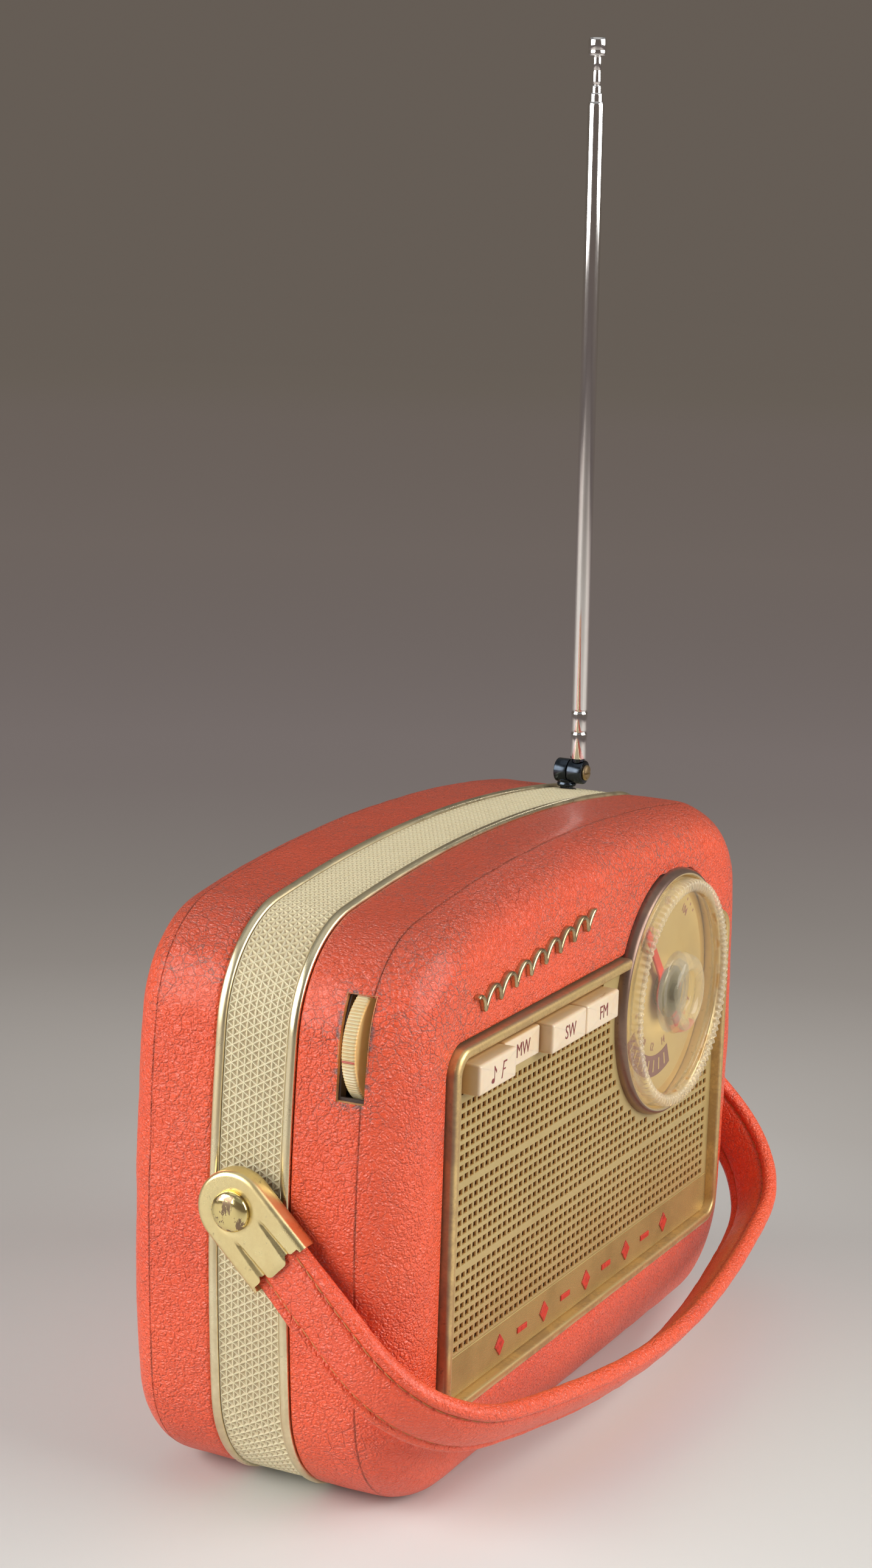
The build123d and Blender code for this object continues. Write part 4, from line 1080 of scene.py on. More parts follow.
def grille_material():
    look = Look("grille_lacquer")
    depth = look.attribute("depth")
    broad = look.noise(scale=34, detail=4, rough=0.6)
    fine = look.noise(scale=1500, rough=0.7)
    colour = look.mix((0.57, 0.44, 0.195), to=(0.43, 0.32, 0.125),
                      by=look.ramp(broad, over=(0.4, 0.7)) * 0.30)
    colour = look.mix(colour, to=(0.66, 0.37, 0.12), by=depth)
    return look.surface(colour, roughness=fine * 0.14 + 0.32, metallic=0.45,
                        normal=look.bump(fine, depth=0.00003, strength=0.5))


def grille():
    rows = [ROW_Z0 + group * (8 * ROW_PITCH + ROW_BAR) + r * ROW_PITCH
            for group in range(3) for r in range(8)]
    columns = [COLUMN_X0 + i * COLUMN_PITCH for i in range(COLUMN_COUNT)]
    holes = [(x, z) for z in rows for x in columns
             if min(math.hypot(cx - DIAL_X, cz - DIAL_Z) for cx in (x, x + COLUMN_W)
                    for cz in (z - ROW_H / 2, z + ROW_H / 2)) > RING_R + 0.6]
    pierced = set(holes)

    # grid lines of the front sheet, finer round the dial
    xs = {round(GRILLE_X0, 3), round(GRILLE_X1, 3), KEYS_X0, KEYS_X1}
    zs = {round(GRILLE_Z0, 3), round(GRILLE_Z1, 3), KEYS_Z0, KEYS_Z1}
    for x in columns:
        xs |= {round(x, 3), round(x + COLUMN_W, 3)}
        if abs(x - DIAL_X) < 44:
            xs |= {round(x + COLUMN_W / 3, 3), round(x + COLUMN_W * 2 / 3, 3)}
    for z in rows:
        zs |= {round(z - ROW_H / 2, 3), round(z + ROW_H / 2, 3)}
        if abs(z - DIAL_Z) < 44:
            zs |= {round(z, 3)}
    zs |= {round(float(z), 3) for z in np.arange(120.5, GRILLE_Z1, 1.1)}
    xs, zs = sorted(xs), sorted(zs)

    def is_open(x, z):
        if KEYS_X0 < x < KEYS_X1 and KEYS_Z0 < z < KEYS_Z1:
            return True
        if math.hypot(x - DIAL_X, z - DIAL_Z) < RING_R - 1.2:
            return True
        i = int((x - COLUMN_X0) // COLUMN_PITCH)
        if not (0 <= i < COLUMN_COUNT and columns[i] < x < columns[i] + COLUMN_W):
            return False
        return any(abs(z - row) < ROW_H / 2 and (columns[i], row) in pierced for row in rows)

    verts, faces, depths, index = [], [], [], {}

    def sheet_vertex(x, z):
        if (x, z) not in index:
            index[x, z] = len(verts)
            verts.append((x, PLATE_Y, z))
            depths.append(0)
        return index[x, z]

    for x0, x1 in zip(xs, xs[1:]):
        for z0, z1 in zip(zs, zs[1:]):
            if not is_open((x0 + x1) / 2, (z0 + z1) / 2):
                faces.append(tuple(sheet_vertex(x, z)
                                   for x, z in ((x0, z0), (x1, z0), (x1, z1), (x0, z1))))

    def turned_edge(x0, x1, z0, z1, rings):
        """Walls of one rectangular hole; rings are (inset, y, depth value)."""
        base = len(verts)
        for inset, y, depth in rings:
            verts.extend([(x0 + inset, y, z0 + inset), (x1 - inset, y, z0 + inset),
                          (x1 - inset, y, z1 - inset), (x0 + inset, y, z1 - inset)])
            depths.extend([depth] * 4)
        faces.extend(grid_faces(len(rings), 4, wrap_c=True, base=base))

    slot_rings = ((0.0, PLATE_Y, 0.0), (PLATE_BEVEL, -47.42, 0.35),
                  (PLATE_BEVEL + 0.06, -46.95, 1.0))
    for x, z in holes:
        turned_edge(x, x + COLUMN_W, z - ROW_H / 2, z + ROW_H / 2, slot_rings)
    turned_edge(KEYS_X0, KEYS_X1, KEYS_Z0, KEYS_Z1, ((0, PLATE_Y, 0.0), (0, -46.0, 1.0)))
    ob = make("grille_mesh", verts, faces, grille_material(), smooth=False,
              body="case", slot="grille_gold", replaces=("grille",))
    set_attribute(ob, "depth", depths)


def cloth_material():
    look = Look("grille_cloth_weave")
    fine = look.noise(scale=2600, rough=0.7)
    broad = look.noise(scale=60)
    colour = look.mix((0.30, 0.135, 0.045), to=(0.12, 0.05, 0.018), by=fine)
    colour = look.mix(colour, to=(0.16, 0.08, 0.03),
                      by=look.ramp(broad, over=(0.4, 0.7)) * 0.3)
    return look.surface(colour, roughness=0.85,
                        normal=look.bump(fine, depth=0.0001, strength=0.6))


def cloth():
    width, height, thread = 184, 73.5, 0.62
    columns, rows = int(width / thread), int(height / thread)
    verts = [(-92 + width * i / columns, -46.62 + 0.09 * (1 if (i + j) % 2 else -1),
              46 + height * j / rows)
             for j in range(rows + 1) for i in range(columns + 1)]
    faces = [f for f in grid_faces(rows + 1, columns + 1)
             if math.hypot(verts[f[0]][0] - DIAL_X, verts[f[0]][2] - DIAL_Z) > RING_R - 1.0]
    make("grille_cloth_weave", verts, faces, cloth_material(),
         body="case", slot="speaker_cloth", replaces=("grille_cloth",))


def strip_material():
    look = Look("ribbed_strip")
    broad = look.noise(scale=50, detail=4, rough=0.6)
    fine = look.noise(scale=1600, rough=0.7, vector=look.mapping(scale=(1, 1, 0.1)))
    spots = look.ramp(look.noise(scale=700, detail=5, rough=0.8), over=(0.66, 0.74))
    colour = look.mix((0.66, 0.49, 0.21), to=(0.46, 0.33, 0.13),
                      by=look.ramp(broad, over=(0.4, 0.7)) * 0.5)
    colour = look.mix(colour, to=(0.16, 0.11, 0.06), by=spots * 0.5)
    return look.surface(colour, roughness=fine * 0.15 + 0.30, metallic=0.70,
                        normal=look.bump(fine, depth=0.00002, strength=0.5))


STRIP_Z0, STRIP_Z1 = BEZEL_Z0 + BEZEL_W, 44.95


def ribbed_strip():
    """Horizontal ribs at the foot of the grille."""
    ribs = 27
    rib = (STRIP_Z1 - 0.7 - STRIP_Z0) / ribs
    profile = [(STRIP_Z0, -47.0)]                 # (z, y)
    for i in range(ribs):
        z0 = STRIP_Z0 + 0.35 + (STRIP_Z1 - 0.7 - STRIP_Z0) * i / ribs
        profile += [(z0 + rib * 0.08, -47.62), (z0 + rib * 0.30, -47.80),
                    (z0 + rib * 0.70, -47.80), (z0 + rib * 0.92, -47.62)]
    profile += [(STRIP_Z1 - 0.25, -47.85), (STRIP_Z1, -47.70), (STRIP_Z1, -46.4)]
    xs = np.linspace(GRILLE_X0, GRILLE_X1, 60)
    verts = [(x, y, z) for z, y in profile for x in xs]
    make("ribbed_strip_piece", verts, grid_faces(len(profile), len(xs)), strip_material(),
         angle=30, body="case", slot="ribbed_brass", replaces=("nameplate",))


def ornament():
    """Wavy ribbon with a softly rounded front, above the keys."""
    width, y_back, y_front, steps, waves = 1.45, -48.05, -49.9, 300, 8.0
    path = []
    for i in range(steps + 1):
        f = i / steps
        phase = f * 2 * math.pi * waves
        path.append((-86.0 + 78.0 * f + 1.4 * math.sin(phase),
                     146.6 + 9.3 * f + 2.5 * math.sin(phase + 1.2)))
    path = np.array(path)
    direction = np.gradient(path, axis=0)
    direction /= np.linalg.norm(direction, axis=1)[:, None]
    normals = np.stack([-direction[:, 1], direction[:, 0]], 1)
    widths = np.ones(len(path)) * width
    for i, share in enumerate((0.45, 0.75, 0.93)):       # narrowed ends
        widths[i] *= share
        widths[-1 - i] *= share
    # share of the width, share of the height
    section = [(-0.5, 0.0), (-0.5, 0.62), (-0.40, 0.86), (-0.2, 0.98), (0.0, 1.0),
               (0.2, 0.98), (0.40, 0.86), (0.5, 0.62), (0.5, 0.0)]
    verts = [(p[0] + n[0] * u * w, y_back - (y_back - y_front) * v, p[1] + n[1] * u * w)
             for p, n, w in zip(path, normals, widths) for u, v in section]
    count = len(section)
    faces = grid_faces(len(path), count, wrap_c=True)
    faces.append(tuple(range(count)))
    faces.append(tuple(range(len(verts) - count, len(verts)))[::-1])
    ob = make("ornament_wave", verts, faces, BADGE_BRASS,
              body="case", slot="aged_brass", replaces=("front_ornament",))
    fix_normals(ob)
    sharpen(ob, 50)


def strip_inlay():
    """Row of small red lozenges and bars on the ribbed strip."""
    look = Look("red_inlay")
    colour = look.mix((0.62, 0.055, 0.035), to=(0.36, 0.035, 0.022),
                      by=look.ramp(look.noise(scale=800), over=(0.45, 0.7)))
    fine = look.noise(scale=1500, detail=2)
    material = look.surface(colour, roughness=0.36, Coat_Weight=0.3,
                            normal=look.bump(fine, depth=0.00003, strength=0.5))
    pitch = 15.2
    z = (STRIP_Z0 + STRIP_Z1) / 2 - 0.1
    parts = []
    for i in range(-4, 5):
        x = i * pitch
        if i % 2 == 0:
            shape = [(x - 3.0, z), (x, z - 3.3), (x + 3.0, z), (x, z + 3.3)]
        else:
            shape = [(x - 3.2, z - 0.85), (x + 3.2, z - 0.85),
                     (x + 3.2, z + 0.85), (x - 3.2, z + 0.85)]
        parts.append(prism("strip_inlay_%d" % (i + 4), shape, -47.6, -48.15, material,
                           bevel=0.18))
    join("strip_inlay", parts, body="case", slot="pointer_red")


bezel()
grille()
cloth()
ribbed_strip()
ornament()
strip_inlay()

# =====================================================================
# piano keys
# =====================================================================
KEY_X0, KEY_PITCH, KEY_W, KEY_Z0, KEY_Z1 = -91.0, 23.85, 23.3, 122.5, 131.5
KEY_FRONT, KEY_PRESSED = -53.4, 4.0
# shapes of the tone key's print, around the key centre (x, z)
NOTE_SHAPES = (
    [(-3.75 + 0.95 * math.cos(a), -1.75 + 0.72 * math.sin(a))
     for a in np.linspace(0, 2 * math.pi, 16, endpoint=False)],
    [(-3.12, -1.7), (-2.78, -1.7), (-2.78, 2.4), (-3.12, 2.4)],
    [(-2.9, 2.4), (-2.9, 1.5), (-1.7, 0.1), (-1.55, 0.9)])
HOOK_SHAPE = [(1.6, -2.4), (2.1, -2.4), (2.6, -0.1), (4.0, -0.1), (4.1, 0.35),
              (2.7, 0.35), (3.1, 2.0), (4.8, 2.0), (4.9, 2.45), (2.7, 2.45)]


def key_material():
    look = Look("key_ivory")
    y = look.xyz()[1]
    broad = look.noise(scale=85, detail=4, rough=0.6)
    fine = look.noise(scale=1500, rough=0.6)
    # the sides are painted a darker amber that deepens towards the back, where they sink into the
    # opening: painted shade
    flank = look.fall(abs(look.normal_xyz()[1]), over=(0.35, 0.85))
    back = look.ramp(y, over=(-0.0538, -0.0475), to=(0.15, 1.0))
    colour = look.mix((0.76, 0.63, 0.46), to=(0.66, 0.44, 0.23),
                      by=look.ramp(broad, over=(0.42, 0.72)) * 0.30)
    colour = look.mix(colour, to=(0.56, 0.32, 0.125), by=flank * back * 0.9)
    streaks = look.mapping(scale=(0.25, 1, 1), turn=(0, 0.3, 0))
    scratches = look.ramp(look.noise(scale=200, detail=4, rough=0.7, vector=streaks),
                          over=(0.66, 0.72))
    colour = look.mix(colour, to=(0.42, 0.20, 0.08), by=scratches * flank * 0.5)
    return look.surface(colour, roughness=fine * 0.08 + 0.15,
                        normal=look.bump(fine + broad, depth=0.00002, strength=0.12),
                        Subsurface_Weight=0.30, Subsurface_Radius=(0.6, 0.35, 0.15),
                        Subsurface_Scale=0.0022, Coat_Weight=0.2, Coat_Roughness=0.15)


def key_cap(name, x0, x1, front, back, material, rounding=1.0):
    """Hollow-fronted block with rounded edges."""
    points, normals = rounded_rect(x0, x1, KEY_Z0, KEY_Z1, 0.75, 0.6)
    mid_x, mid_z = (x0 + x1) / 2, (KEY_Z0 + KEY_Z1) / 2
    profile = [(0.5, back + 0.02), (0.12, back), (0.0, back - 0.4)]      # (inset, y)
    profile += [(0.0, y) for y in np.linspace(back - 1.2, front + rounding + 0.6, 8)]
    for i in range(7):
        a = math.pi / 2 * i / 6
        profile.append((rounding * (1 - math.cos(a)) * 0.85, front + rounding * (1 - math.sin(a))))
    verts = [(p[0] - n[0] * inset, y, p[1] - n[1] * inset)
             for inset, y in profile for p, n in zip(points, normals)]
    inset = profile[-1][0]
    shares = (0.88, 0.7, 0.45, 0.2)               # rings of the front face
    for share in shares:
        for p, n in zip(points, normals):
            x, z = p[0] - n[0] * inset, p[1] - n[1] * inset
            verts.append((mid_x + (x - mid_x) * share, front - 0.16 * (1 - share ** 2),
                          mid_z + (z - mid_z) * share))
    rows, count = len(profile) + len(shares), len(points)
    faces = grid_faces(rows, count, wrap_c=True)
    faces.append(tuple(range((rows - 1) * count, rows * count)))
    faces.append(tuple(range(count))[::-1])
    ob = make(name, verts, faces, material)
    fix_normals(ob)
    sharpen(ob, 60)
    return ob


def key(index, prefix, material):
    x0 = KEY_X0 + index * KEY_PITCH
    x1 = x0 + KEY_W
    x, z = (x0 + x1) / 2, 127.0
    body = prefix + "_button"
    dy = KEY_PRESSED if prefix == "mw" else 0.0
    front = KEY_FRONT + dy
    cap = key_cap(prefix + "_key_cap", x0, x1, front + 0.16, -41.5 + dy, material)
    stem = prism("stem", [(x - 3, 125.5), (x + 3, 125.5), (x + 3, 128.5), (x - 3, 128.5)],
                 -27.0 + dy, -41.6 + dy, material, bevel=0.2)
    join(prefix + "_key_piece", [cap, stem], body=body, slot="ivory",
         replaces=(prefix + "_key",))
    mark_y = front - 0.03
    if prefix != "tone":
        text_piece(prefix + "_mark", prefix.upper(), 5.9, (x, mark_y, z), MAROON, depth=0.05,
                   squeeze=0.86, weight=-0.03, body=body, slot="pointer_red")
        return
    shapes = [(shape, mark_y - 0.02 - 0.002 * i) for i, shape in enumerate(NOTE_SHAPES)]
    shapes.append((HOOK_SHAPE, mark_y - 0.02))
    marks = [prism("mark", [(x + a, z + b) for a, b in shape], mark_y + 0.1, top, MAROON,
                   bevel=0.02) for shape, top in shapes]
    join("tone_mark", marks, body=body, slot="pointer_red")


KEY_IVORY = key_material()
for i, prefix in enumerate(("tone", "mw", "sw", "fm")):
    key(i, prefix, KEY_IVORY)


# =====================================================================
# tuning dial
# =====================================================================
def dial_point(radius, degrees):
    return (DIAL_X + radius * math.cos(math.radians(degrees)),
            DIAL_Z + radius * math.sin(math.radians(degrees)))


def ring_material():
    look = Look("ring_bronze")
    radius = look.radius(DIAL_X, DIAL_Z)
    broad = look.noise(scale=70, detail=5, rough=0.62, distortion=0.4)
    fine = look.noise(scale=1100, detail=4, rough=0.7)
    colour = look.mix((0.25, 0.165, 0.12), to=(0.145, 0.085, 0.075),
                      by=look.ramp(broad, over=(0.42, 0.70)) * 0.7)
    colour = look.mix(colour, to=(0.74, 0.60, 0.36), by=look.fall(radius, over=(38.0, 38.35)))
    spots = look.ramp(look.noise(scale=500, detail=5, rough=0.75), over=(0.60, 0.70))
    colour = look.mix(colour, to=(0.08, 0.05, 0.04), by=spots * 0.5)
    return look.surface(colour, roughness=broad * 0.24 + 0.20, metallic=0.70,
                        normal=look.bump(fine, depth=0.00003, strength=0.5))


def scale_material():
    look = Look("scale_tan")
    radius = look.radius(DIAL_X, DIAL_Z)
    broad = look.noise(scale=40, detail=4, rough=0.6)
    colour = look.mix((0.60, 0.455, 0.205), to=(0.50, 0.34, 0.13),
                      by=look.ramp(broad, over=(0.4, 0.7)) * 0.35)
    colour = look.mix(colour, to=(0.50, 0.32, 0.10), by=look.ramp(radius, over=(33.6, 34.2)))
    return look.surface(colour, roughness=0.42, metallic=0.15,
                        normal=look.bump(look.noise(scale=1400), depth=0.00002, strength=0.4))


def sector(name, inner, outer, start, end, y_back, y_front, material):
    """Flat piece of a ring on the dial, angles in degrees."""
    count = max(2, int(abs(end - start) / 2.0))
    points = [dial_point(inner, start + (end - start) * i / count) for i in range(count + 1)]
    points += [dial_point(outer, end + (start - end) * i / count) for i in range(count + 1)]
    m = len(points)
    verts = [(x, y, z) for y in (y_front, y_back) for x, z in points]
    faces = [tuple(range(m)), tuple(range(2 * m - 1, m - 1, -1))]
    faces += [(i, (i + 1) % m, m + (i + 1) % m, m + i) for i in range(m)]
    ob = make(name, verts, faces, material, smooth=False)
    fix_normals(ob)
    return ob


def dial_text(text, radius, degrees, size, tilt=0.0):
    """Printed figure that turns with the radius."""
    x, z = dial_point(radius, degrees)
    return text_piece("fig", text, size, (x, -45.72, z), FADED_MAROON, depth=0.06,
                      squeeze=0.8, angle=math.radians(degrees - 90 + tilt))


def dial_scale():
    material = scale_material()
    disc = lathe("scale_disc", (DIAL_X, 0, DIAL_Z), FRONTWARDS,
                 [(5.15, 45.0), (5.15, 45.62), (30.0, 45.66), (33.4, 45.68), (33.7, 45.60),
                  (34.0, 45.68), (37.1, 45.69), (37.2, 45.0)], 200, material, closed=True)
    prints = [sector("arc", 21.5, 28.5, 206, 292, -45.5, -45.78, PURPLE)]
    prints.append(dial_text("FM", radius=22.5, degrees=118, size=6.6, tilt=-26))
    for text, degrees in (("100", 84), ("104", 52), ("96", 140), ("92", 166)):
        prints.append(dial_text(text, radius=28.6, degrees=degrees, size=4.0))
    for text, degrees in (("6", 194), ("8", 212), ("10", 232), ("12", 256), ("14", 284)):
        prints.append(dial_text(text, radius=18.6, degrees=degrees, size=3.8, tilt=180))
    for a in range(214, 290, 10):
        prints.append(sector("tick", 23.0, 27.0, a - 0.9, a + 0.9, -45.6, -45.84, material))
    for a in range(40, 176, 6):
        prints.append(sector("dot", 32.0, 32.9, a - 0.5, a + 0.5, -45.5, -45.76, FADED_MAROON))
    for text, degrees in (("9", 318), ("7", 340)):
        prints.append(dial_text(text, radius=26.5, degrees=degrees, size=3.8, tilt=180))
    join("dial_scale_printed", [disc] + prints, body="case", slot="scale_tan",
         replaces=("dial_scale",))


def clear_material():
    """Thin clear walls that reflect at a slant, milky at the rim and the hub."""
    look = Look("clear_acrylic")
    radius = look.radius(DIAL_X, DIAL_Z)
    height = look.xyz()[1] * -1000.0              # mm in front of y = 0
    rim = look.ramp(radius, over=(32.2, 33.0))
    streaks = look.mapping(scale=(0.12, 1, 1), turn=(0.2, 0.4, 0.6))
    scratches = look.noise(scale=1500, rough=0.7, vector=streaks)
    normal = look.bump(look.noise(scale=240, detail=4, rough=0.6), depth=0.00004, strength=0.25)

    def scratched(gain, base):
        return look.ramp(scratches, over=(0.55, 0.8)) * gain + base

    look.surface((0.98, 0.95, 0.86), roughness=scratched(gain=0.12, base=0.04), normal=normal,
                 IOR=1.30, Transmission_Weight=1.0)
    glass = Signal(look, look.principled.outputs[0])
    transparent = look.node("BsdfTransparent", {0: (0.985, 0.965, 0.905)})
    glossy = look.node("BsdfGlossy", {"Roughness": scratched(gain=0.18, base=0.06),
                                      "Normal": normal})
    fresnel = look.node("Fresnel", {"IOR": 1.46, "Normal": normal})
    front_only = 1.0 - look.node("NewGeometry", output="Backfacing")
    thin = look.node("MixShader", {0: fresnel * front_only, 1: transparent, 2: glossy})
    shadow = look.node("LightPath", output="Is Shadow Ray")
    hub = look.fall(radius, over=(12.6, 13.4)) * look.ramp(radius, over=(6.2, 6.9))
    glass_share = look.math("MAXIMUM", rim * 0.35, hub * 0.45) * (1.0 - shadow)
    clear = look.node("MixShader", {0: glass_share, 1: thin, 2: glass})

    # haze, with dirt in the step inside the rim
    dirt = (look.fall(abs(radius - 32.15), over=(0.25, 0.6))
            * look.ramp(look.noise(scale=160), over=(0.46, 0.62))
            * look.ramp(height, over=(51.6, 52.6)))
    haze = look.node("BsdfDiffuse",
                     {0: look.mix((0.90, 0.84, 0.66), to=(0.50, 0.23, 0.05), by=dirt)})
    front = look.ramp(height, over=(50.8, 53.6))
    haze_share = 0.035 + rim * front * 0.22 + hub * front * 0.09
    haze_share = look.math("ADD", haze_share, dirt * 0.45, clamp=True)
    hazy = look.node("MixShader", {0: haze_share, 1: clear, 2: haze})
    look.set(look.tree.nodes["Material Output"].inputs["Surface"], hazy)
    return look.material


# radius, distance in front of y = 0, bead height across the radius, bead height along the axis
KNOB_PROFILE = (
    (0, 50.9, 0, 0), (9.0, 50.9, 0, 0), (9.0, 50.3, 0, 0), (20, 50.3, 0, 0),
    (34.2, 50.3, 0, 0), (34.8, 49.7, 0, 0), (35.2, 49.0, 0, 0), (36.9, 48.95, 0, 0),
    (37.0, 49.3, 0, 0), (36.8, 50.6, 0, 0), (36.6, 51.6, 0, 0), (36.45, 52.3, 0.10, 0),
    (36.35, 53.0, 0.32, 0), (36.25, 53.7, 0.42, 0.05), (36.05, 54.2, 0.46, 0.12),
    (35.6, 54.5, 0.34, 0.22), (34.95, 54.6, 0.12, 0.26), (34.2, 54.58, -0.10, 0.24),
    (33.5, 54.4, -0.16, 0.14), (32.9, 54.0, -0.10, 0.04), (32.5, 53.3, 0, 0),
    (32.25, 52.4, 0, 0), (31.9, 52.05, 0, 0), (31.2, 52.0, 0, 0), (22, 52.0, 0, 0),
    (13.6, 52.0, 0, 0), (13.1, 52.2, 0, 0), (12.8, 53.2, 0, 0), (12.5, 54.6, 0, 0),
    (12.15, 55.5, 0, 0), (11.6, 56.15, 0, 0), (10.9, 56.5, 0, 0), (10.1, 56.6, 0, 0),
    (9.2, 56.55, 0, 0), (8.4, 56.25, 0, 0), (7.7, 55.7, 0, 0), (7.25, 55.0, 0, 0),
    (6.9, 54.1, 0, 0), (6.5, 53.6, 0, 0), (5.9, 53.45, 0, 0), (4.5, 53.4, 0, 0), (0, 53.4, 0, 0))


def knob():
    segments, beads = 792, 99
    verts, rings = [], []
    for radius, along, across_bead, along_bead in KNOB_PROFILE:
        start = len(verts)
        if radius == 0:
            verts.append((DIAL_X, -along, DIAL_Z))
        else:
            for i in range(segments):
                a = 2 * math.pi * i / segments
                wave = math.cos(beads * a)
                wave = math.copysign(abs(wave) ** 0.8, wave)
                r = radius + across_bead * wave - abs(across_bead) * 0.4
                verts.append((DIAL_X + r * math.cos(a), -(along + along_bead * wave),
                              DIAL_Z + r * math.sin(a)))
        rings.append(list(range(start, len(verts))))
    ob = make("clear_knob", verts, ring_faces(rings), clear_material(),
              body="tuning", slot="clear_acrylic", replaces=("tuning_knob",))
    fix_normals(ob)
    sharpen(ob, 70)


def shaft():
    look = Look("flange_grey")
    colour = look.mix((0.13, 0.13, 0.095), to=(0.20, 0.18, 0.125), by=look.noise(scale=120))
    fine = look.noise(scale=1200, detail=2)
    material = look.surface(colour, roughness=0.4, metallic=0.4,
                            normal=look.bump(fine, depth=0.00003, strength=0.4))
    lathe("tuning_shaft_piece", (DIAL_X, 0, DIAL_Z), FRONTWARDS,
          [(0, 52.05), (2.2, 52.05), (2.85, 51.7), (2.92, 50.2), (8.0, 50.15), (8.3, 49.9),
           (8.35, 49.0), (8.0, 48.65), (2.92, 48.62), (2.92, 44.0), (2.3, 43.7), (2.3, 42.9),
           (2.92, 42.6), (2.92, 29.0), (2.2, 27.1), (0, 27.1)], 72, material,
          body="tuning", slot="steel", replaces=("tuning_shaft",))


def pointer():
    """Flat bar through a round hub, the longer arm at 128 degrees."""
    heading, hub_r = math.radians(128), 7.4
    ux, uz = math.cos(heading), math.sin(heading)
    # distance along the bar, offset across it
    tail = ((-9.0, 1.75), (-16.6, 1.65), (-17.3, 1.1), (-17.5, 0.0), (-17.3, -1.1),
            (-16.6, -1.65), (-9.0, -1.75))
    tip = ((9.0, -1.75), (27.6, -1.5), (28.7, -1.1), (29.0, 0.0), (28.7, 1.1), (27.6, 1.5),
           (9.0, 1.75))
    shape = []
    for start, arm in ((20, tail), (198, tip)):
        for i in range(14):
            a = heading + math.radians(start) + math.radians(142) * i / 13
            shape.append((DIAL_X + hub_r * math.cos(a), DIAL_Z + hub_r * math.sin(a)))
        shape += [(DIAL_X + ux * r - uz * w, DIAL_Z + uz * r + ux * w) for r, w in arm]
    prism("pointer_piece", shape, -47.75, -48.45, POINTER_RED, bevel=0.2,
          body="tuning", slot="pointer_red", replaces=("dial_pointer",))


lathe("dial_bezel_ring", (DIAL_X, 0, DIAL_Z), FRONTWARDS,
      [(37.45, 45.0), (39.75, 45.0), (39.78, 48.4), (39.62, 49.2), (39.2, 50.15),
       (38.75, 50.75), (38.35, 50.98), (38.05, 51.0), (37.75, 50.9), (37.5, 50.6),
       (37.42, 50.0)], 240, ring_material(), angle=60, closed=True,
      body="case", slot="bronze", replaces=("dial_ring",))
dial_scale()
knob()
shaft()
pointer()

# =====================================================================
# volume wheel
# =====================================================================
WHEEL_Y0, WHEEL_Y1 = -32.3, -27.9
# radius, y, rib height
WHEEL_PROFILE = (
    (2.0, WHEEL_Y0 + 0.4, 0), (5.0, WHEEL_Y0 - 0.1, 0), (5.4, WHEEL_Y0 + 0.5, 0),
    (8.0, WHEEL_Y0 + 0.62, 0), (13.5, WHEEL_Y0 + 0.60, 0), (15.2, WHEEL_Y0 + 0.50, 0),
    (15.9, WHEEL_Y0 + 0.2, 0), (16.4, WHEEL_Y0 + 0.05, 0.05), (16.95, WHEEL_Y0 + 0.18, 0.12),
    (17.28, WHEEL_Y0 + 0.60, 0.20), (17.34, WHEEL_Y0 + 1.0, 0.24), (17.34, WHEEL_Y0 + 2.2, 0.24),
    (17.34, WHEEL_Y1 - 0.8, 0.24), (17.0, WHEEL_Y1 - 0.25, 0.14), (16.4, WHEEL_Y1, 0.05),
    (9.0, WHEEL_Y1, 0), (2.0, WHEEL_Y1, 0))


def wheel_material():
    look = Look("wheel_amber")
    radius = look.radius(WHEEL_X, WHEEL_Z)
    x, _, z = look.xyz()
    broad = look.noise(scale=90, detail=4, rough=0.6)
    rim = look.ramp(radius, over=(16.6, 17.1))
    valley = look.fall(radius, over=(16.95, 17.28))
    face = look.mix((0.74, 0.50, 0.22), to=(0.64, 0.38, 0.13),
                    by=look.ramp(broad, over=(0.38, 0.72)))
    edge = look.mix((0.66, 0.59, 0.37), to=(0.58, 0.44, 0.20),
                    by=look.ramp(broad, over=(0.42, 0.75)))
    colour = look.mix(face, to=edge, by=rim)
    colour = look.mix(colour, to=(0.45, 0.28, 0.10), by=rim * valley * 0.55)
    # one printed rib, just below the -X side
    angle = look.math("ARCTAN2", z * 1000.0 - WHEEL_Z, x * 1000.0 - WHEEL_X)
    distance = abs(abs(angle) - math.radians(173.5))
    below = look.fall(angle, over=(0.0, 0.01))
    mark = look.fall(distance, over=(0.016, 0.022)) * rim * below
    colour = look.mix(colour, to=(0.42, 0.035, 0.04), by=mark * 0.9)
    # the amber face is given a faint glow, painted light that brightens it inside the opening; the
    # rim hardly glows
    return look.surface(
        colour, roughness=broad * 0.12 + 0.24,
        normal=look.bump(look.noise(scale=1500), depth=0.00002, strength=0.4),
        Subsurface_Weight=0.28, Subsurface_Radius=(0.6, 0.35, 0.12), Subsurface_Scale=0.0022,
        Coat_Weight=0.2, Coat_Roughness=0.15, Emission_Strength=0.42,
        Emission_Color=look.mix((0.30, 0.16, 0.05), to=(0.02, 0.015, 0.007), by=rim))


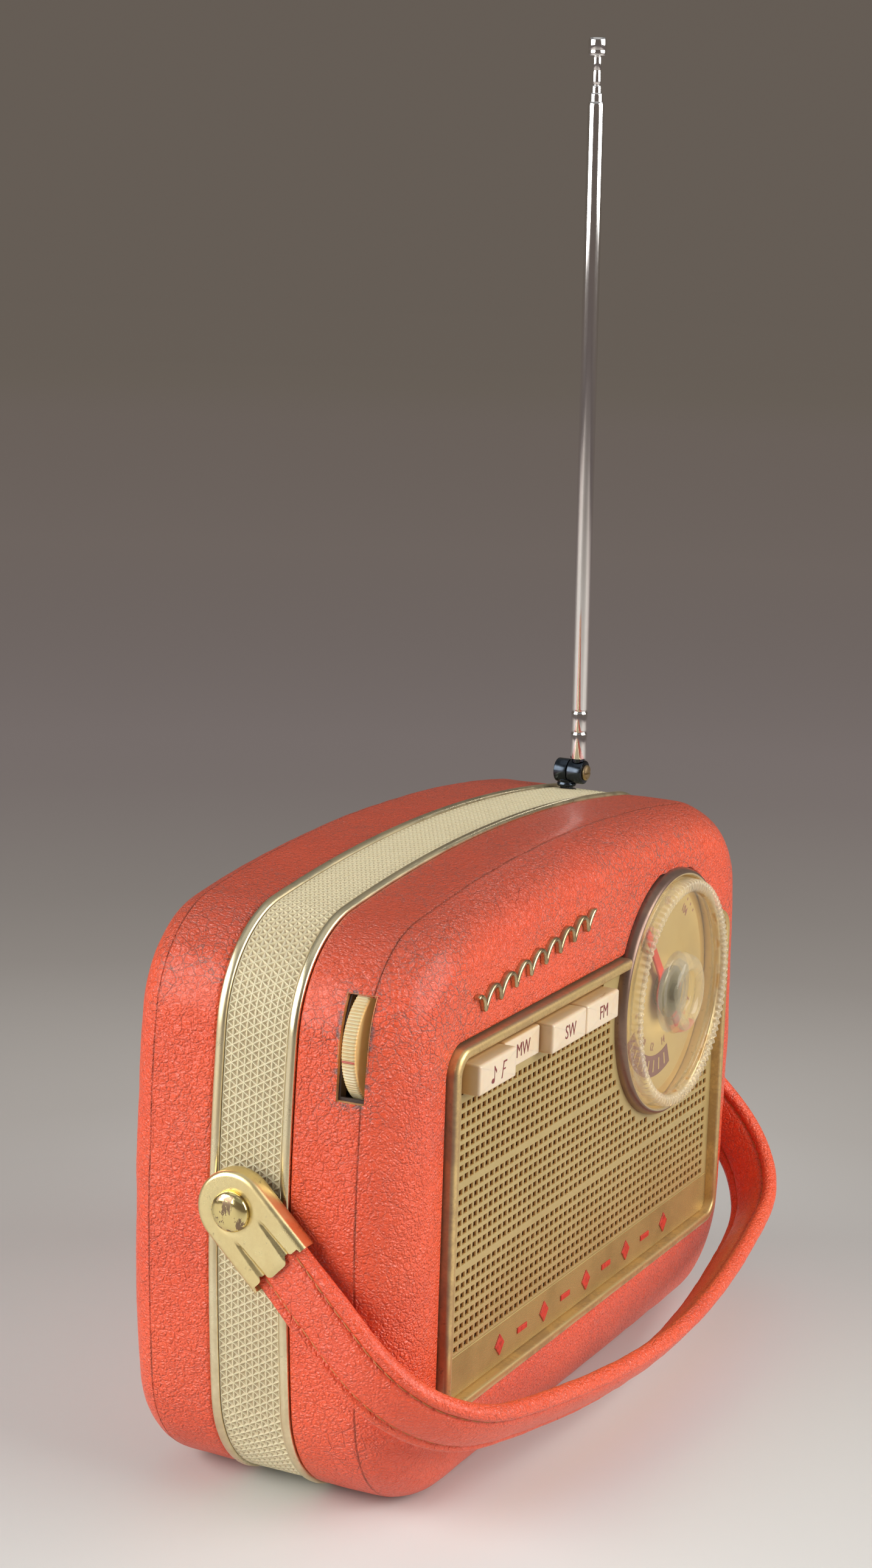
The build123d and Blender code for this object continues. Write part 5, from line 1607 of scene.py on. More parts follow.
def volume_wheel():
    segments, ribs = 864, 108
    verts = []
    for radius, y, rib in WHEEL_PROFILE:
        for i in range(segments):
            a = 2 * math.pi * i / segments
            wave = math.cos(ribs * a)
            wave = math.copysign(abs(wave) ** 0.6, wave)
            r = radius + rib * (wave - 1)
            verts.append((WHEEL_X + r * math.cos(a), y, WHEEL_Z + r * math.sin(a)))
    wheel = make("wheel_ribbed", verts,
                 grid_faces(len(WHEEL_PROFILE), segments, wrap_c=True, wrap_r=True),
                 wheel_material())
    fix_normals(wheel)
    sharpen(wheel, 50)
    spindle = lathe("spindle", (WHEEL_X, 0, WHEEL_Z), FRONTWARDS,
                    [(0, -WHEEL_Y0 + 0.5), (1.6, -WHEEL_Y0 + 0.5), (1.95, -WHEEL_Y0 + 0.2),
                     (1.98, 26.2), (0, 26.2)], 48, STEEL)
    join("volume_wheel_piece", [wheel, spindle], body="volume", slot="ivory",
         replaces=("volume_wheel",))


volume_wheel()

# =====================================================================
# handle: padded strap, stitches, clips and studs
# =====================================================================
# The strap hangs forward and down from the pivots: REACH runs from the pivots to its
# middle, ACROSS runs over its width.
PIVOT_Y, PIVOT_Z = 0.5, 92.2
DROP = math.radians(43.6)
REACH = Vector((0, -math.cos(DROP), -math.sin(DROP)))
ACROSS = Vector((0, math.sin(DROP), -math.cos(DROP)))
# half centreline from the +X clip to the middle: x, reach, thickness
STRAP_STATIONS = (
    (130.15, 7.0, 4.2), (130.15, 13.0, 4.2), (130.15, 19.0, 4.2), (130.3, 25.5, 4.7),
    (130.5, 32.3, 6.4), (130.9, 44.9, 7.0), (130.6, 57.4, 7.0), (126.6, 69.2, 7.0),
    (118.0, 79.1, 7.0), (106.4, 86.1, 7.0), (93.9, 90.0, 7.0), (81.4, 92.6, 7.0),
    (62.8, 95.9, 7.0), (44.0, 98.6, 7.0), (25.2, 100.5, 7.0), (0.0, 101.6, 7.0))
STRAP_T = 7.0
STITCH_LINE, STITCH_START, STITCH_PITCH = 6.25, 12, 4.3


def stitch_phase(side):
    return 0.4 if side > 0 else 2.2


def spline(knots, values):
    """Natural cubic spline through (knots, values)."""
    n = len(knots)
    h = np.diff(knots)
    matrix = np.zeros((n, n))
    right = np.zeros(n)
    matrix[0, 0] = matrix[-1, -1] = 1
    for i in range(1, n - 1):
        matrix[i, i - 1:i + 2] = h[i - 1], 2 * (h[i - 1] + h[i]), h[i]
        right[i] = 6 * ((values[i + 1] - values[i]) / h[i]
                        - (values[i] - values[i - 1]) / h[i - 1])
    m = np.linalg.solve(matrix, right)

    def evaluate(x):
        i = np.clip(np.searchsorted(knots, x, side="right") - 1, 0, n - 2)
        d = x - knots[i]
        e = knots[i + 1] - x
        return ((m[i] * e ** 3 + m[i + 1] * d ** 3) / (6 * h[i])
                + (values[i] / h[i] - m[i] * h[i] / 6) * e
                + (values[i + 1] / h[i] - m[i + 1] * h[i] / 6) * d)

    return evaluate


_stations = np.array([(-x, s, t) for x, s, t in STRAP_STATIONS] + list(STRAP_STATIONS[-2::-1]))
_knots = np.concatenate([[0], np.cumsum(np.hypot(*np.diff(_stations[:, :2], axis=0).T) ** 0.5)])
_fine = np.linspace(_knots[0], _knots[-1], 4000)
STRAP_X = spline(_knots, _stations[:, 0])(_fine)
STRAP_S = spline(_knots, _stations[:, 1])(_fine)
STRAP_LENGTHS = np.concatenate([[0], np.cumsum(np.hypot(np.diff(STRAP_X), np.diff(STRAP_S)))])
STRAP_LENGTH = STRAP_LENGTHS[-1]


def on_strap(along):
    """Centre x and reach, normal in the X-reach plane, and thickness at an arc length."""
    def centre(a):
        return np.interp(a, STRAP_LENGTHS, STRAP_X), np.interp(a, STRAP_LENGTHS, STRAP_S)

    x, s = centre(along)
    x0, s0 = centre(along - 0.6)
    x1, s1 = centre(along + 0.6)
    tangent = np.array([x1 - x0, s1 - s0])
    tangent = tangent / np.linalg.norm(tangent)
    knot = np.interp(along, STRAP_LENGTHS, _fine)
    thickness = np.interp(knot, _knots, _stations[:, 2])
    return x, s, np.array([-tangent[1], tangent[0]]), thickness


def strap_half(across, thickness):
    """Half thickness over the width: padded middle, stitched grooves, rolled edges."""
    a = abs(across)
    if a < 6.2:
        half = 2.15 + 0.95 * (1 - (a / 6.2) ** 2.6) ** 0.75
    else:
        edge = (a - 8.05) / 1.95
        half = 2.55 * math.sqrt(max(0.0, 1 - abs(edge) ** 2.2))
        if a < 7.0:
            half = max(half, 2.02)
    groove = math.exp(-((a - STITCH_LINE) / 0.42) ** 2)
    return max(0.0, (half - 0.38 * groove)) * (thickness / STRAP_T)


def strap():
    left = [-10.0, -9.93, -9.7, -9.3, -8.8, -8.2, -7.6, -7.1, -6.75, -6.5, -6.25, -6.0, -5.75,
            -5.3, -4.6, -3.6, -2.4, -1.2]
    stations = left + [0.0] + [-a for a in left[::-1]]
    # once round the section, over the outer face and back over the inner one
    around = [(1, a) for a in stations] + [(-1, a) for a in stations[::-1][1:-1]]
    sections = int(STRAP_LENGTH / 0.6)
    verts, seams = [], []
    for i in range(sections + 1):
        along = STRAP_LENGTH * i / sections
        x, s, normal, thickness = on_strap(min(max(along, 0.61), STRAP_LENGTH - 0.61))
        if i in (0, sections):
            end = 0 if i == 0 else -1
            x, s = STRAP_X[end], STRAP_S[end]
        for sign, across in around:
            h = strap_half(across, thickness) * sign
            v = Vector((along / 9.0, across / 5.0, sign * 3.0))
            wobble = ((noise.noise(v) * 0.16 + noise.noise(v * 3.1) * 0.07)
                      * (1 if abs(across) < 9.6 else 0.3) * (thickness / STRAP_T) ** 3)
            h += sign * wobble
            point = (Vector((x + normal[0] * h, PIVOT_Y, PIVOT_Z))
                     + REACH * (s + normal[1] * h) + ACROSS * (across * 0.985))
            verts.append(tuple(point))
            groove = math.exp(-((abs(across) - STITCH_LINE) / 0.22) ** 2)
            phase = (along - STITCH_START - stitch_phase(across) + 0.28) % STITCH_PITCH
            hole = math.exp(-(min(phase, STITCH_PITCH - phase) / 0.36) ** 2)
            seams.append(groove * (0.30 + 0.85 * hole))
    count = len(around)
    faces = grid_faces(sections + 1, count, wrap_c=True)
    faces.append(tuple(range(count))[::-1])
    faces.append(tuple(range(sections * count, (sections + 1) * count)))
    ob = make("strap_padded", verts, faces, STRAP_LEATHER,
              body="handle", slot="red_leather", replaces=("handle_strap",))
    set_attribute(ob, "seam", seams)
    tidy(ob)


def stitch(along, side, sign, verts, faces):
    """Short thread run that dips into the leather at both ends."""
    rings, ring = 8, 6
    base = len(verts)
    for j in range(rings):
        f = j / (rings - 1)
        x, s, n, thickness = on_strap(along + (STITCH_PITCH - 0.55) * f)
        depth = 0.30 * (1 - math.sin(math.pi * f) ** 0.35)
        h = (strap_half(STITCH_LINE * side, thickness) + 0.12 - depth) * sign
        centre = (Vector((x + n[0] * h, PIVOT_Y, PIVOT_Z)) + REACH * (s + n[1] * h)
                  + ACROSS * (6.16 * side))
        out = Vector((n[0] * sign, 0, 0)) + REACH * (n[1] * sign)
        radius = 0.27 * (0.35 + 0.65 * math.sin(math.pi * (0.08 + 0.84 * f)) ** 0.4)
        for i in range(ring):
            a = 2 * math.pi * i / ring
            verts.append(tuple(centre + out * (radius * math.sin(a))
                               + ACROSS * (radius * math.cos(a))))
    faces += grid_faces(rings, ring, wrap_c=True, base=base)
    faces.append(tuple(range(base, base + ring)))
    faces.append(tuple(range(len(verts) - ring, len(verts)))[::-1])


def stitches():
    verts, faces = [], []
    for side in (1, -1):
        for sign in (1, -1):
            for k in range(int((STRAP_LENGTH - 24) / STITCH_PITCH)):
                stitch(STITCH_START + k * STITCH_PITCH + stitch_phase(side), side, sign,
                       verts, faces)
    ob = make("strap_stitches", verts, faces, THREAD, body="handle", slot="red_leather")
    tidy(ob)


# ---- stamped clips, in (reach, across, outward) coordinates about the pivot
CLIP_R, CLIP_L, CLIP_TOP, CLIP_ROUND = 11.3, 21.0, 6.0, 1.7
CLIP_FLAT = CLIP_R - CLIP_ROUND
TONGUES = ((-CLIP_FLAT, -6.1, 19.8), (-4.25, 4.25, 21.0), (6.1, CLIP_FLAT, 19.8))  # y0, y1, end


def clip_edge(step=0.7):
    """(x, y, nx, ny) from the foot at -y round the head to the foot at +y."""
    straight, turn = int(CLIP_L / step), int(math.pi * CLIP_R / step)
    out = [(CLIP_L - CLIP_L * i / straight, -CLIP_R, 0, -1) for i in range(straight + 1)]
    for i in range(1, turn):
        a = -math.pi / 2 - math.pi * i / turn
        out.append((CLIP_R * math.cos(a), CLIP_R * math.sin(a), math.cos(a), math.sin(a)))
    return out + [(CLIP_L * i / straight, CLIP_R, 0, 1) for i in range(straight + 1)]


def clip_foot():
    """Edge of the foot from +y to -y, where three tongues end in rounded corners."""
    foot = []
    for i in range(1, 60):
        y = CLIP_FLAT - 2 * CLIP_FLAT * i / 60
        x = 18.9
        for y0, y1, end in TONGUES:
            if y0 - 0.2 <= y <= y1 + 0.2:
                corner = 1.9 if y0 == -4.25 else 1.4
                x = end
                from_y0 = y - y0 if y0 > -CLIP_FLAT + 0.1 else 9
                from_y1 = y1 - y if y1 < CLIP_FLAT - 0.1 else 9
                d = max(0, min(from_y0, from_y1))
                if d < corner:
                    x = end - corner + math.sqrt(max(0.0, corner ** 2 - (corner - d) ** 2))
        foot.append((x, y))
    return foot


def clip_height(x, y):
    d = math.hypot(x, y)
    z = CLIP_TOP
    # pressed seat round the stud
    if d < 7.4:
        f = min(1.0, max(0.0, (7.4 - d) / 1.3))
        z -= 0.18 * (f * f * (3 - 2 * f))
    # tapered flutes between the tongues
    if x > 6.8:
        width = 0.5 + 0.85 * min(1.0, (x - 6.8) / 11)
        groove = max(0.0, 1 - ((abs(y) - 5.15) / width) ** 2)
        f = min(1.0, (x - 6.8) / 2.0)
        z -= (0.65 + 0.45 * min(1.0, (x - 6.8) / 12)) * (groove ** 1.6) * f
    # the tongues roll down a little at the foot
    if x > 19.3:
        z -= 0.35 * ((x - 19.3) / 1.7) ** 2
    return z


def clip_top(ring):
    """Flat points and triangles of the outer face, with a hole for the stud."""
    sites = [Vector(p) for p in ring + clip_foot()]
    edges = closed_edges(0, len(sites)) + closed_edges(len(sites), 44)
    # the hole (radius, count), then rings of the pressed seat
    rings = [(3.6, 44)] + [(r, int(2 * math.pi * r / 0.7))
                           for r in (4.3, 5.0, 5.6, 6.2, 6.7, 7.2, 7.8, 8.5)]
    for radius, count in rings:
        for i in range(count):
            a = 2 * math.pi * i / count
            sites.append(Vector((radius * math.cos(a), radius * math.sin(a))))
    for x in np.arange(-10, 21, 0.55):
        for y in np.arange(-CLIP_FLAT + 0.4, CLIP_FLAT - 0.3, 0.32):
            distance = math.hypot(x, y)
            if distance < 8.9 or (x < 0 and distance > CLIP_FLAT - 0.35):
                continue
            if x > 18.4 and not any(y0 + 0.3 < y < y1 - 0.3 and x < end - 0.5
                                    for y0, y1, end in TONGUES):
                continue
            sites.append(Vector((x + rng.uniform(-.05, .05), y + rng.uniform(-.05, .05))))
    flat, _, triangles = delaunay_2d_cdt(sites, edges, [], 1, 1e-5)[:3]
    kept = []
    for f in triangles:
        middle = sum((flat[i] for i in f), Vector((0, 0))) / len(f)
        if math.hypot(middle[0], middle[1]) >= 3.55:
            kept.append(f)
    return flat, kept


def clip(name, side, replaces):
    edge = clip_edge()
    profile = [(0.25, 0.15), (0.0, 0.45), (0.0, 2.2), (0.0, CLIP_TOP - CLIP_ROUND)]  # inset, z
    for i in range(1, 7):
        a = math.pi / 2 * i / 6
        profile.append((CLIP_ROUND * (1 - math.cos(a)), CLIP_TOP - CLIP_ROUND * (1 - math.sin(a))))
    local = [(x - nx * inset, y - ny * inset, z) for inset, z in profile for x, y, nx, ny in edge]
    faces = grid_faces(len(profile), len(edge))
    flat, triangles = clip_top([(x, y) for x, y, _ in local[-len(edge):]])
    base = len(local)
    local += [(p[0], p[1], clip_height(p[0], p[1])) for p in flat]
    faces += [tuple(base + i for i in f) for f in triangles]
    outward = Vector((side, 0, 0))
    verts = [tuple(Vector((side * 127.6, PIVOT_Y, PIVOT_Z)) + REACH * x + ACROSS * y + outward * z)
             for x, y, z in local]
    ob = make(name, verts, faces, CLIP_GOLD)
    tidy(ob, merge=3e-5,
         centre=Vector((side * 0.128, PIVOT_Y * MM, PIVOT_Z * MM)) + REACH * 0.008)
    sheet = ob.modifiers.new("thick", "SOLIDIFY")
    sheet.thickness, sheet.offset = 0.00075, -1
    bake(ob)
    sharpen(ob, 60)
    place(ob, "handle", "gold_trim", replaces)


def stud_material():
    look = Look("stud_worn_gold")
    broad = look.noise(scale=210, detail=6, rough=0.65, distortion=0.8)
    fine = look.noise(scale=1500, detail=4, rough=0.7)
    worn = look.ramp(broad + fine * 0.12, over=(0.575, 0.60))
    colour = look.mix((0.88, 0.74, 0.34), to=(0.66, 0.50, 0.20),
                      by=look.ramp(look.noise(scale=60), over=(0.4, 0.7)) * 0.3)
    colour = look.mix(colour, to=(0.17, 0.10, 0.085), by=worn * 0.85)
    return look.surface(colour, roughness=worn * 0.22 + 0.13, metallic=0.97,
                        normal=look.bump(fine + broad, depth=0.00002, strength=0.4))


def handle_studs():
    material = stud_material()
    profile = [(0, 113.0), (2.6, 113.0), (2.98, 113.4), (2.98, 131.55), (3.4, 131.6),
               (3.4, 133.7), (5.6, 133.72), (5.82, 133.95), (5.82, 134.25), (5.6, 134.75),
               (5.1, 135.25), (4.3, 135.68), (3.2, 135.98), (1.8, 136.14), (0.8, 136.19),
               (0, 136.2)]
    studs = [lathe("stud", (0, PIVOT_Y, PIVOT_Z), (side, 0, 0), profile, 72, material, angle=60)
             for side in (-1, 1)]
    join("handle_studs_domed", studs, body="case", slot="gold_trim",
         replaces=("handle_studs",))


strap()
stitches()
clip("left_clip_stamped", -1, ("left_clip",))
clip("right_clip_stamped", 1, ("right_clip",))
handle_studs()

# =====================================================================
# telescopic aerial: distances run up the axis from the hinge
# =====================================================================
HINGE = Vector((89.7, 2.0, 177.4))
LEAN = math.radians(2.0)                          # towards -X
AERIAL_AXIS = (-math.sin(LEAN), 0, math.cos(LEAN))
POST_Y = 5.9
HINGE_LINE = (HINGE[0], 0, HINGE[2])


def tube_material():
    look = Look("chrome_tube")
    broad = look.noise(scale=70, detail=5, rough=0.6)
    fine = look.noise(scale=900, rough=0.7, vector=look.mapping(scale=(1, 1, 0.04)))
    pits = look.ramp(look.noise(scale=850, detail=5, rough=0.8), over=(0.70, 0.76))
    colour = look.mix((0.88, 0.87, 0.86), to=(0.66, 0.62, 0.56),
                      by=look.ramp(broad, over=(0.45, 0.75)) * 0.22)
    colour = look.mix(colour, to=(0.25, 0.20, 0.15), by=pits * 0.5)
    return look.surface(colour, roughness=fine * 0.07 + 0.045, metallic=1.0,
                        normal=look.bump(fine, depth=0.000004, strength=0.5))


# object name, frame part, body, segments, closed, (radius, distance along the axis)
AERIAL_SECTIONS = (
    ("aerial_tube_piece", "aerial_tube", "aerial_arm", 72, False,
     [(2.25, 5.2), (2.35, 4.9), (2.62, 4.75), (2.7, 5.1), (2.7, 12.9), (2.63, 13.2),
      (2.38, 13.45), (2.34, 13.8), (2.4, 14.1), (2.66, 14.3), (2.7, 14.6), (2.7, 19.9),
      (2.63, 20.2), (2.38, 20.45), (2.34, 20.8), (2.4, 21.1), (2.66, 21.3), (2.7, 21.6),
      (2.7, 215.2), (2.66, 216.2), (2.5, 216.9), (2.3, 217.2), (2.22, 217.1), (2.22, 200),
      (2.22, 30)]),
    ("aerial_section_2_piece", "aerial_section_2", "aerial_inner_1", 60, True,
     [(1.75, 20), (2.13, 20), (2.13, 218.9), (2.10, 219.4), (1.98, 219.75), (1.80, 219.9),
      (1.72, 219.8), (1.72, 205), (1.72, 24)]),
    ("aerial_section_3_piece", "aerial_section_3", "aerial_inner_2", 60, True,
     [(1.25, 21), (1.63, 21), (1.63, 221.3), (1.58, 221.8), (1.46, 222.1), (1.3, 222.2),
      (1.23, 222.0), (1.23, 208), (1.23, 25)]),
    ("rod", "aerial_rod", "aerial_tip", 48, False,
     [(0, 22), (1.13, 22), (1.13, 222.5), (1.2, 222.7), (1.38, 222.9), (1.4, 223.4),
      (1.4, 226.4), (1.3, 226.6), (1.3, 226.9), (1.4, 227.1), (1.4, 230.6), (1.3, 231.0),
      (1.13, 231.3), (1.13, 233.9), (0, 233.9)]),
    ("aerial_cap_piece", "aerial_cap", "aerial_tip", 60, False,
     [(1.25, 231.15), (2.2, 231.15), (2.75, 231.35), (2.95, 231.9), (2.95, 232.6),
      (2.86, 232.8), (2.86, 233.1), (2.95, 233.3), (2.95, 235.9), (2.85, 236.4),
      (2.55, 236.78), (2.0, 236.95), (1.0, 237.0), (0, 237.0)]),
)


def knuckle(name, y0, y1, radius=4.0, bevel=0.45, hole=1.3):
    """Round hinge plate with a hole for the screw."""
    nose = radius - bevel * 0.3
    return lathe(name, HINGE_LINE, (0, 1, 0),
                 [(hole, y0 + 0.1), (hole + 0.25, y0), (radius - bevel, y0),
                  (nose, y0 + bevel * 0.3), (radius, y0 + bevel), (radius, y1 - bevel),
                  (nose, y1 - bevel * 0.3), (radius - bevel, y1), (hole + 0.25, y1),
                  (hole, y1 - 0.1)], 60, BLACK_CHROME, closed=True)


def aerial_hinge():
    front = knuckle("foot_knuckle", -0.6, 4.6)
    neck = lathe("foot_neck", HINGE, AERIAL_AXIS,
                 [(0, 3.4), (2.1, 3.4), (2.15, 4.2), (2.2, 4.9), (2.18, 5.4), (2.1, 13.5),
                  (0, 13.8)], 48, BLACK_CHROME)
    join("aerial_foot_piece", [front, neck], body="aerial_arm", slot="black_chrome",
         replaces=("aerial_foot",))
    rear = knuckle("swivel_knuckle", 4.75, 9.3)
    # the post goes only into the rear knuckle
    post = lathe("swivel_post", (HINGE[0], POST_Y, 0), (0, 0, 1),
                 [(0, 157.0), (4.2, 157.0), (4.4, 157.3), (4.4, 158.3), (4.2, 158.55),
                  (2.18, 158.6), (2.18, 172.3), (3.0, 172.35), (3.2, 172.6), (3.2, 173.3),
                  (2.95, 173.6), (2.95, 174.0), (3.2, 174.3), (3.2, 174.7), (2.9, 175.0),
                  (0, 175.0)], 60, BLACK_CHROME)
    join("aerial_swivel_piece", [rear, post], body="aerial_base", slot="black_chrome",
         replaces=("aerial_swivel",))


def pivot_screw():
    """Domed screw through the hinge, slotted across its front."""
    screw = lathe("screw", HINGE_LINE, (0, 1, 0),
                  [(0, -1.90), (1.6, -1.86), (2.3, -1.62), (2.55, -1.25), (2.6, -0.9),
                   (2.55, -0.68), (1.22, -0.66), (1.2, 8.9), (1.0, 9.15), (0, 9.15)], 60, BRASS)
    subtract(screw, [(HINGE[0] + x, y, HINGE[2] + z) for x in (-4, 4) for y in (-2.6, -1.35)
                     for z in (-0.36, 0.36)],
             [(0, 1, 3, 2), (4, 6, 7, 5), (0, 4, 5, 1), (2, 3, 7, 6), (0, 2, 6, 4),
              (1, 5, 7, 3)])
    sharpen(screw, 35)
    screw.name = "aerial_pivot_screw_piece"
    place(screw, "aerial_base", "aged_brass", ("aerial_pivot_screw",))


CHROME_TUBE = tube_material()
for name, part, body, segments, closed, profile in AERIAL_SECTIONS:
    lathe(name, HINGE, AERIAL_AXIS, profile, segments, CHROME_TUBE, closed=closed,
          body=body, slot="chrome", replaces=(part,))
aerial_hinge()
pivot_screw()


# =====================================================================
# finishes for the parts kept from the model
# =====================================================================
def board_material():
    look = Look("board_phenolic")
    fine = look.noise(scale=2200, rough=0.7)
    cells = look.cells(scale=150, vector=look.mapping(scale=(1, 0.02, 1)))
    tracks = look.fall(cells, over=(0.02, 0.05)) * look.ramp(look.noise(scale=60, detail=2),
                                                             over=(0.45, 0.5))
    colour = look.mix((0.30, 0.145, 0.05), to=(0.18, 0.08, 0.028), by=fine * 0.5)
    colour = look.mix(colour, to=(0.50, 0.26, 0.10), by=tracks * 0.6)
    return look.surface(colour, roughness=0.42, metallic=tracks * 0.4,
                        normal=look.bump(fine, depth=0.00004, strength=0.5))


def fibre_material(name, light, dark, scale, detail, rough, roughness, depth):
    """Matt mottled fibre."""
    look = Look(name)
    fine = look.noise(scale=scale, detail=detail, rough=rough)
    return look.surface(look.mix(light, to=dark, by=fine), roughness=roughness,
                        normal=look.bump(fine, depth=depth, strength=0.7))


def wire_material():
    look = Look("wound_wire")
    turns = look.node("TexWave", {"Vector": look.place, "Scale": 900, "Distortion": 0.4},
                      "Fac", wave_type="BANDS", bands_direction="X")
    colour = look.mix((0.16, 0.045, 0.015), to=(0.50, 0.20, 0.07), by=turns)
    return look.surface(colour, roughness=0.38, metallic=0.5,
                        normal=look.bump(turns, depth=0.0002, strength=0.8))


def battery_material():
    look = Look("battery_sleeve")
    x = look.xyz()[0]
    broad = look.noise(scale=60, detail=4, rough=0.6)
    stripes = look.ramp(abs(look.math("SINE", x * 160.0)), over=(0.80, 0.83))
    colour = look.mix((0.10, 0.13, 0.28), to=(0.05, 0.07, 0.16),
                      by=look.ramp(broad, over=(0.4, 0.7)) * 0.3)
    colour = look.mix(colour, to=(0.55, 0.42, 0.18), by=stripes)
    return look.surface(colour, roughness=0.32, metallic=0.6,
                        normal=look.bump(look.noise(scale=1200), depth=0.00003, strength=0.5))


BOARD = board_material()
CONE = fibre_material("cone_paper", light=(0.045, 0.038, 0.036), dark=(0.10, 0.085, 0.075),
                      scale=1600, detail=4, rough=0.7, roughness=0.85, depth=0.00015)
WIRE = wire_material()
BATTERY = battery_material()
CORD = fibre_material("twisted_cord", light=(0.50, 0.42, 0.28), dark=(0.26, 0.20, 0.12),
                      scale=3000, detail=3, rough=0.6, roughness=0.8, depth=0.0001)

KEPT_PARTS = {
    "front_case": CASE, "back_case": CASE, "battery_box": CASE, "back_cover_screws": BRASS,
    "key_switch": PHENOLIC, "tuning_bush": BRASS, "drive_drum": DRUM_WHITE,
    "capacitor_drum": DRUM_WHITE, "dial_cord": CORD, "tuning_capacitor": ALUMINIUM,
    "capacitor_plates": ALUMINIUM, "volume_control": STEEL, "handle_washers_nuts": STEEL,
    "aerial_bush": BLACK_CHROME, "circuit_board": BOARD, "chassis_screws": STEEL,
    "speaker_frame": STEEL, "speaker_cone": CONE, "speaker_magnet": MAGNET,
    "ferrite_rod": FERRITE, "rod_coils": WIRE, "rod_clips": DRUM_WHITE, "if_cans": ALUMINIUM,
    "audio_transformers": MAGNET, "capacitors": CAP_BLUE, "transistors": ALUMINIUM,
    "batteries": BATTERY, "battery_springs": STEEL,
}
for name, material in KEPT_PARTS.items():
    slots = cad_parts[name].data.materials
    slots.clear()
    slots.append(material)

# =====================================================================
# world, camera, floor sweep and lights, in metres
# =====================================================================
CAMERA_PLACE = Vector((-0.81612, -0.40245, 0.3783))
CAMERA_FORWARD = Vector((0.8740, 0.4410, -0.20415)).normalized()
_right = Vector((0.45615, -0.88937, 0.03160)).normalized()
CAMERA_UP = _right.cross(CAMERA_FORWARD).normalized()
CAMERA_RIGHT = CAMERA_FORWARD.cross(CAMERA_UP).normalized()


def set_world():
    world = bpy.data.worlds.new("studio")
    bpy.context.scene.world = world
    world.use_nodes = True
    colour, strength = world.node_tree.nodes["Background"].inputs[:2]
    colour.default_value = (0.80, 0.79, 0.78, 1)
    strength.default_value = 0.30


def set_camera():
    data = bpy.data.cameras.new("camera")
    camera = bpy.data.objects.new("camera", data)
    COLLECTION.objects.link(camera)
    data.lens, data.sensor_width, data.sensor_fit = 69.9, 36.0, "AUTO"
    axes = (CAMERA_RIGHT, CAMERA_UP, -CAMERA_FORWARD, CAMERA_PLACE)
    camera.matrix_world = Matrix([[axis[i] for axis in axes] for i in range(3)] + [(0, 0, 0, 1)])
    data.clip_start, data.clip_end = 0.01, 50
    scene = bpy.context.scene
    scene.camera = camera
    scene.view_settings.view_transform = "Standard"
    scene.view_settings.look = "None"


# distance from the case and colour: the floor is painted lighter near the case and darker away from
# it, a painted pool of light
FLOOR_COLOURS = (
    (0.0, (0.72, 0.725, 0.715)), (0.07, (0.66, 0.67, 0.66)), (0.16, (0.55, 0.54, 0.525)),
    (0.28, (0.43, 0.41, 0.39)), (0.5, (0.315, 0.29, 0.272)), (0.9, (0.245, 0.216, 0.203)),
    (2.0, (0.175, 0.155, 0.138)), (4.0, (0.13, 0.112, 0.098)))
FLOOR_GLOW = (
    (0.62, (0, 0, 0)), (1.05, (0.048, 0.037, 0.039)), (2.0, (0.090, 0.072, 0.066)),
    (3.4, (0.098, 0.080, 0.070)), (4.0, (0.096, 0.080, 0.066)))


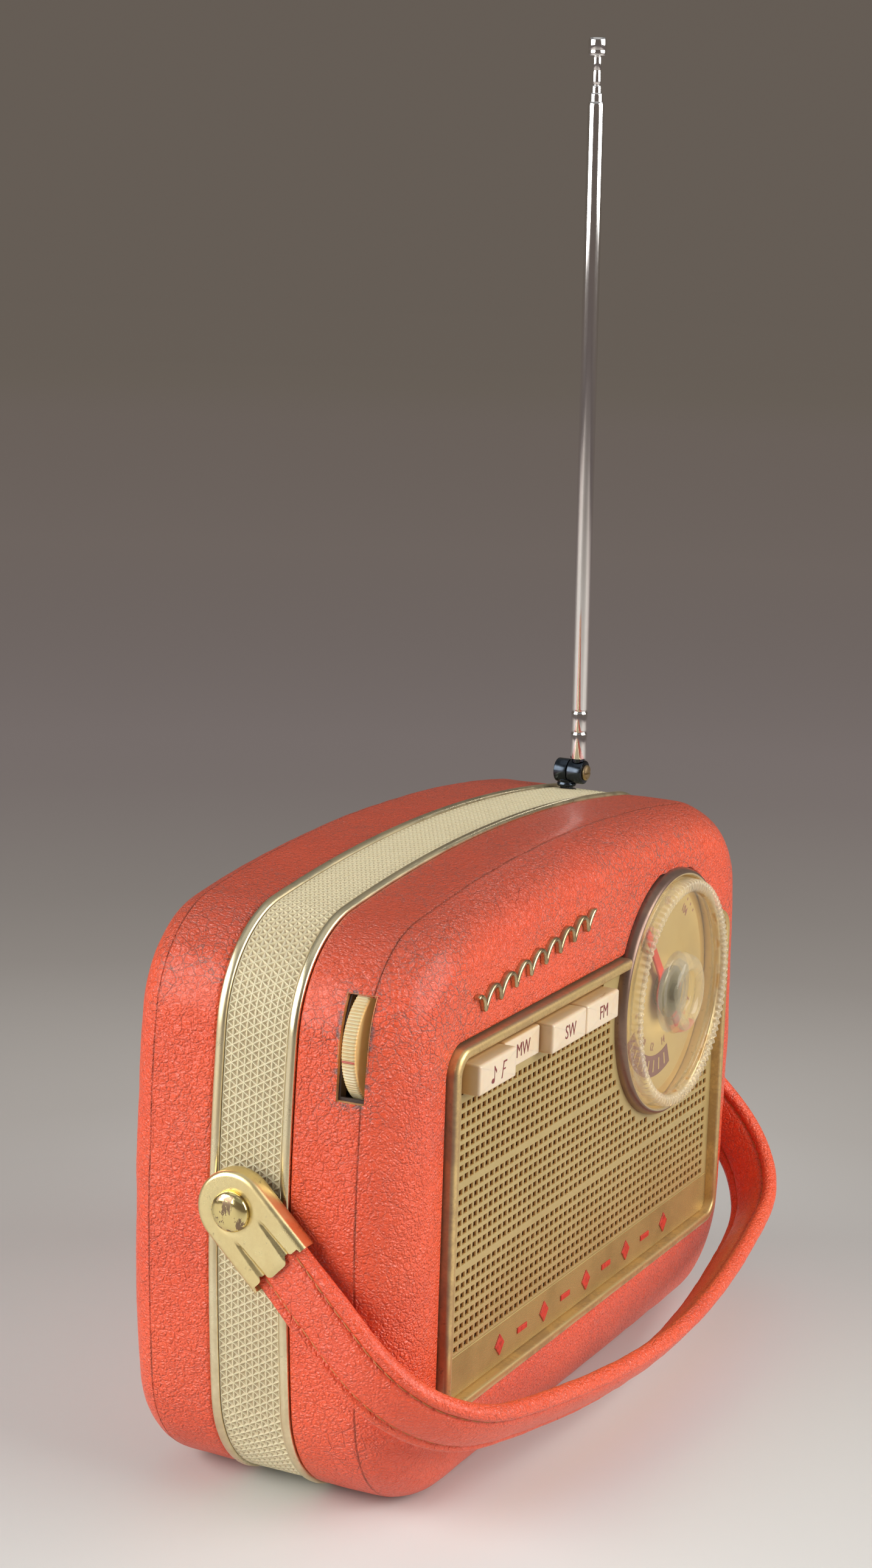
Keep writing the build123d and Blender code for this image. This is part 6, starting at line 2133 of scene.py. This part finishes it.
def floor_material():
    look = Look("floor_paper")
    x, y, _ = look.xyz()
    ahead = x * 0.893 + y * 0.450
    distance = look.math("SQRT", x * x + y * y)
    far = distance * 0.80 + ahead * 0.20

    def by_distance(stops):
        # a ramp 4 m long
        colour = look.node("ValToRGB", {0: far * 0.25})
        elements = colour.socket.node.color_ramp.elements
        while len(elements) > 1:
            elements.remove(elements[0])
        elements[0].position, elements[0].color = 0.25 * stops[0][0], (*stops[0][1], 1)
        for metres, rgb in stops[1:]:
            elements.new(0.25 * metres).color = (*rgb, 1)
        return colour

    return look.surface(by_distance(FLOOR_COLOURS), roughness=0.55,
                        normal=look.bump(look.noise(scale=90), depth=0.0001, strength=0.15),
                        Specular_IOR_Level=0.25, Emission_Color=by_distance(FLOOR_GLOW),
                        Emission_Strength=1.0)


def floor():
    """Round plain floor that turns up far away on every side."""
    turn = np.linspace(0.15, math.pi / 2, 8)
    flat = (0.0, 0.1, 0.2, 0.35, 0.5, 0.75, 1.0, 1.4, 1.9, 2.5, 3.2, 4.0)
    rings = [(radius, -0.0004) for radius in flat]       # (radius, z)
    rings += [(4.0 + 1.5 * math.sin(a), 1.5 * (1 - math.cos(a))) for a in turn]
    rings += [(5.5, 1.6), (5.5, 3.2)]
    segments = 96
    verts = [(0, 0, rings[0][1])]
    for radius, z in rings[1:]:
        for i in range(segments):
            a = 2 * math.pi * i / segments
            verts.append((radius * math.cos(a), radius * math.sin(a), z))
    faces = [(0, 1 + i, 1 + (i + 1) % segments) for i in range(segments)]
    faces += grid_faces(len(rings) - 1, segments, wrap_c=True, base=1)
    ob = make("floor", verts, faces, floor_material(), scale=1.0)
    tidy(ob, centre=(0, 0, 2.0), outward=False)


def softbox(name, location, target, size, power, colour):
    data = bpy.data.lights.new(name, "AREA")
    data.shape, data.size, data.size_y = "RECTANGLE", size[0], size[1]
    data.energy, data.color = power, colour
    light = bpy.data.objects.new(name, data)
    COLLECTION.objects.link(light)
    light.location = location
    direction = (Vector(target) - Vector(location)).normalized()
    light.rotation_euler = direction.to_track_quat("-Z", "Y").to_euler()


set_world()
set_camera()
floor()
softbox("key_left", CAMERA_PLACE * 0.55 + (-CAMERA_RIGHT) * 1.05 + Vector((0, 0, 0.42)),
        target=(0, 0, 0.1), size=(1.3, 0.8), power=18.5, colour=(1.0, 0.985, 0.96))
softbox("key_right", CAMERA_PLACE * 0.35 + CAMERA_RIGHT * 1.05 + Vector((0, 0, 0.50)),
        target=(0, 0, 0.1), size=(1.2, 0.8), power=18.5, colour=(1.0, 0.985, 0.96))
softbox("top", (0.0, 0.0, 1.5), target=(0, 0, 0), size=(1.4, 1.4), power=2,
        colour=(1.0, 0.99, 0.98))
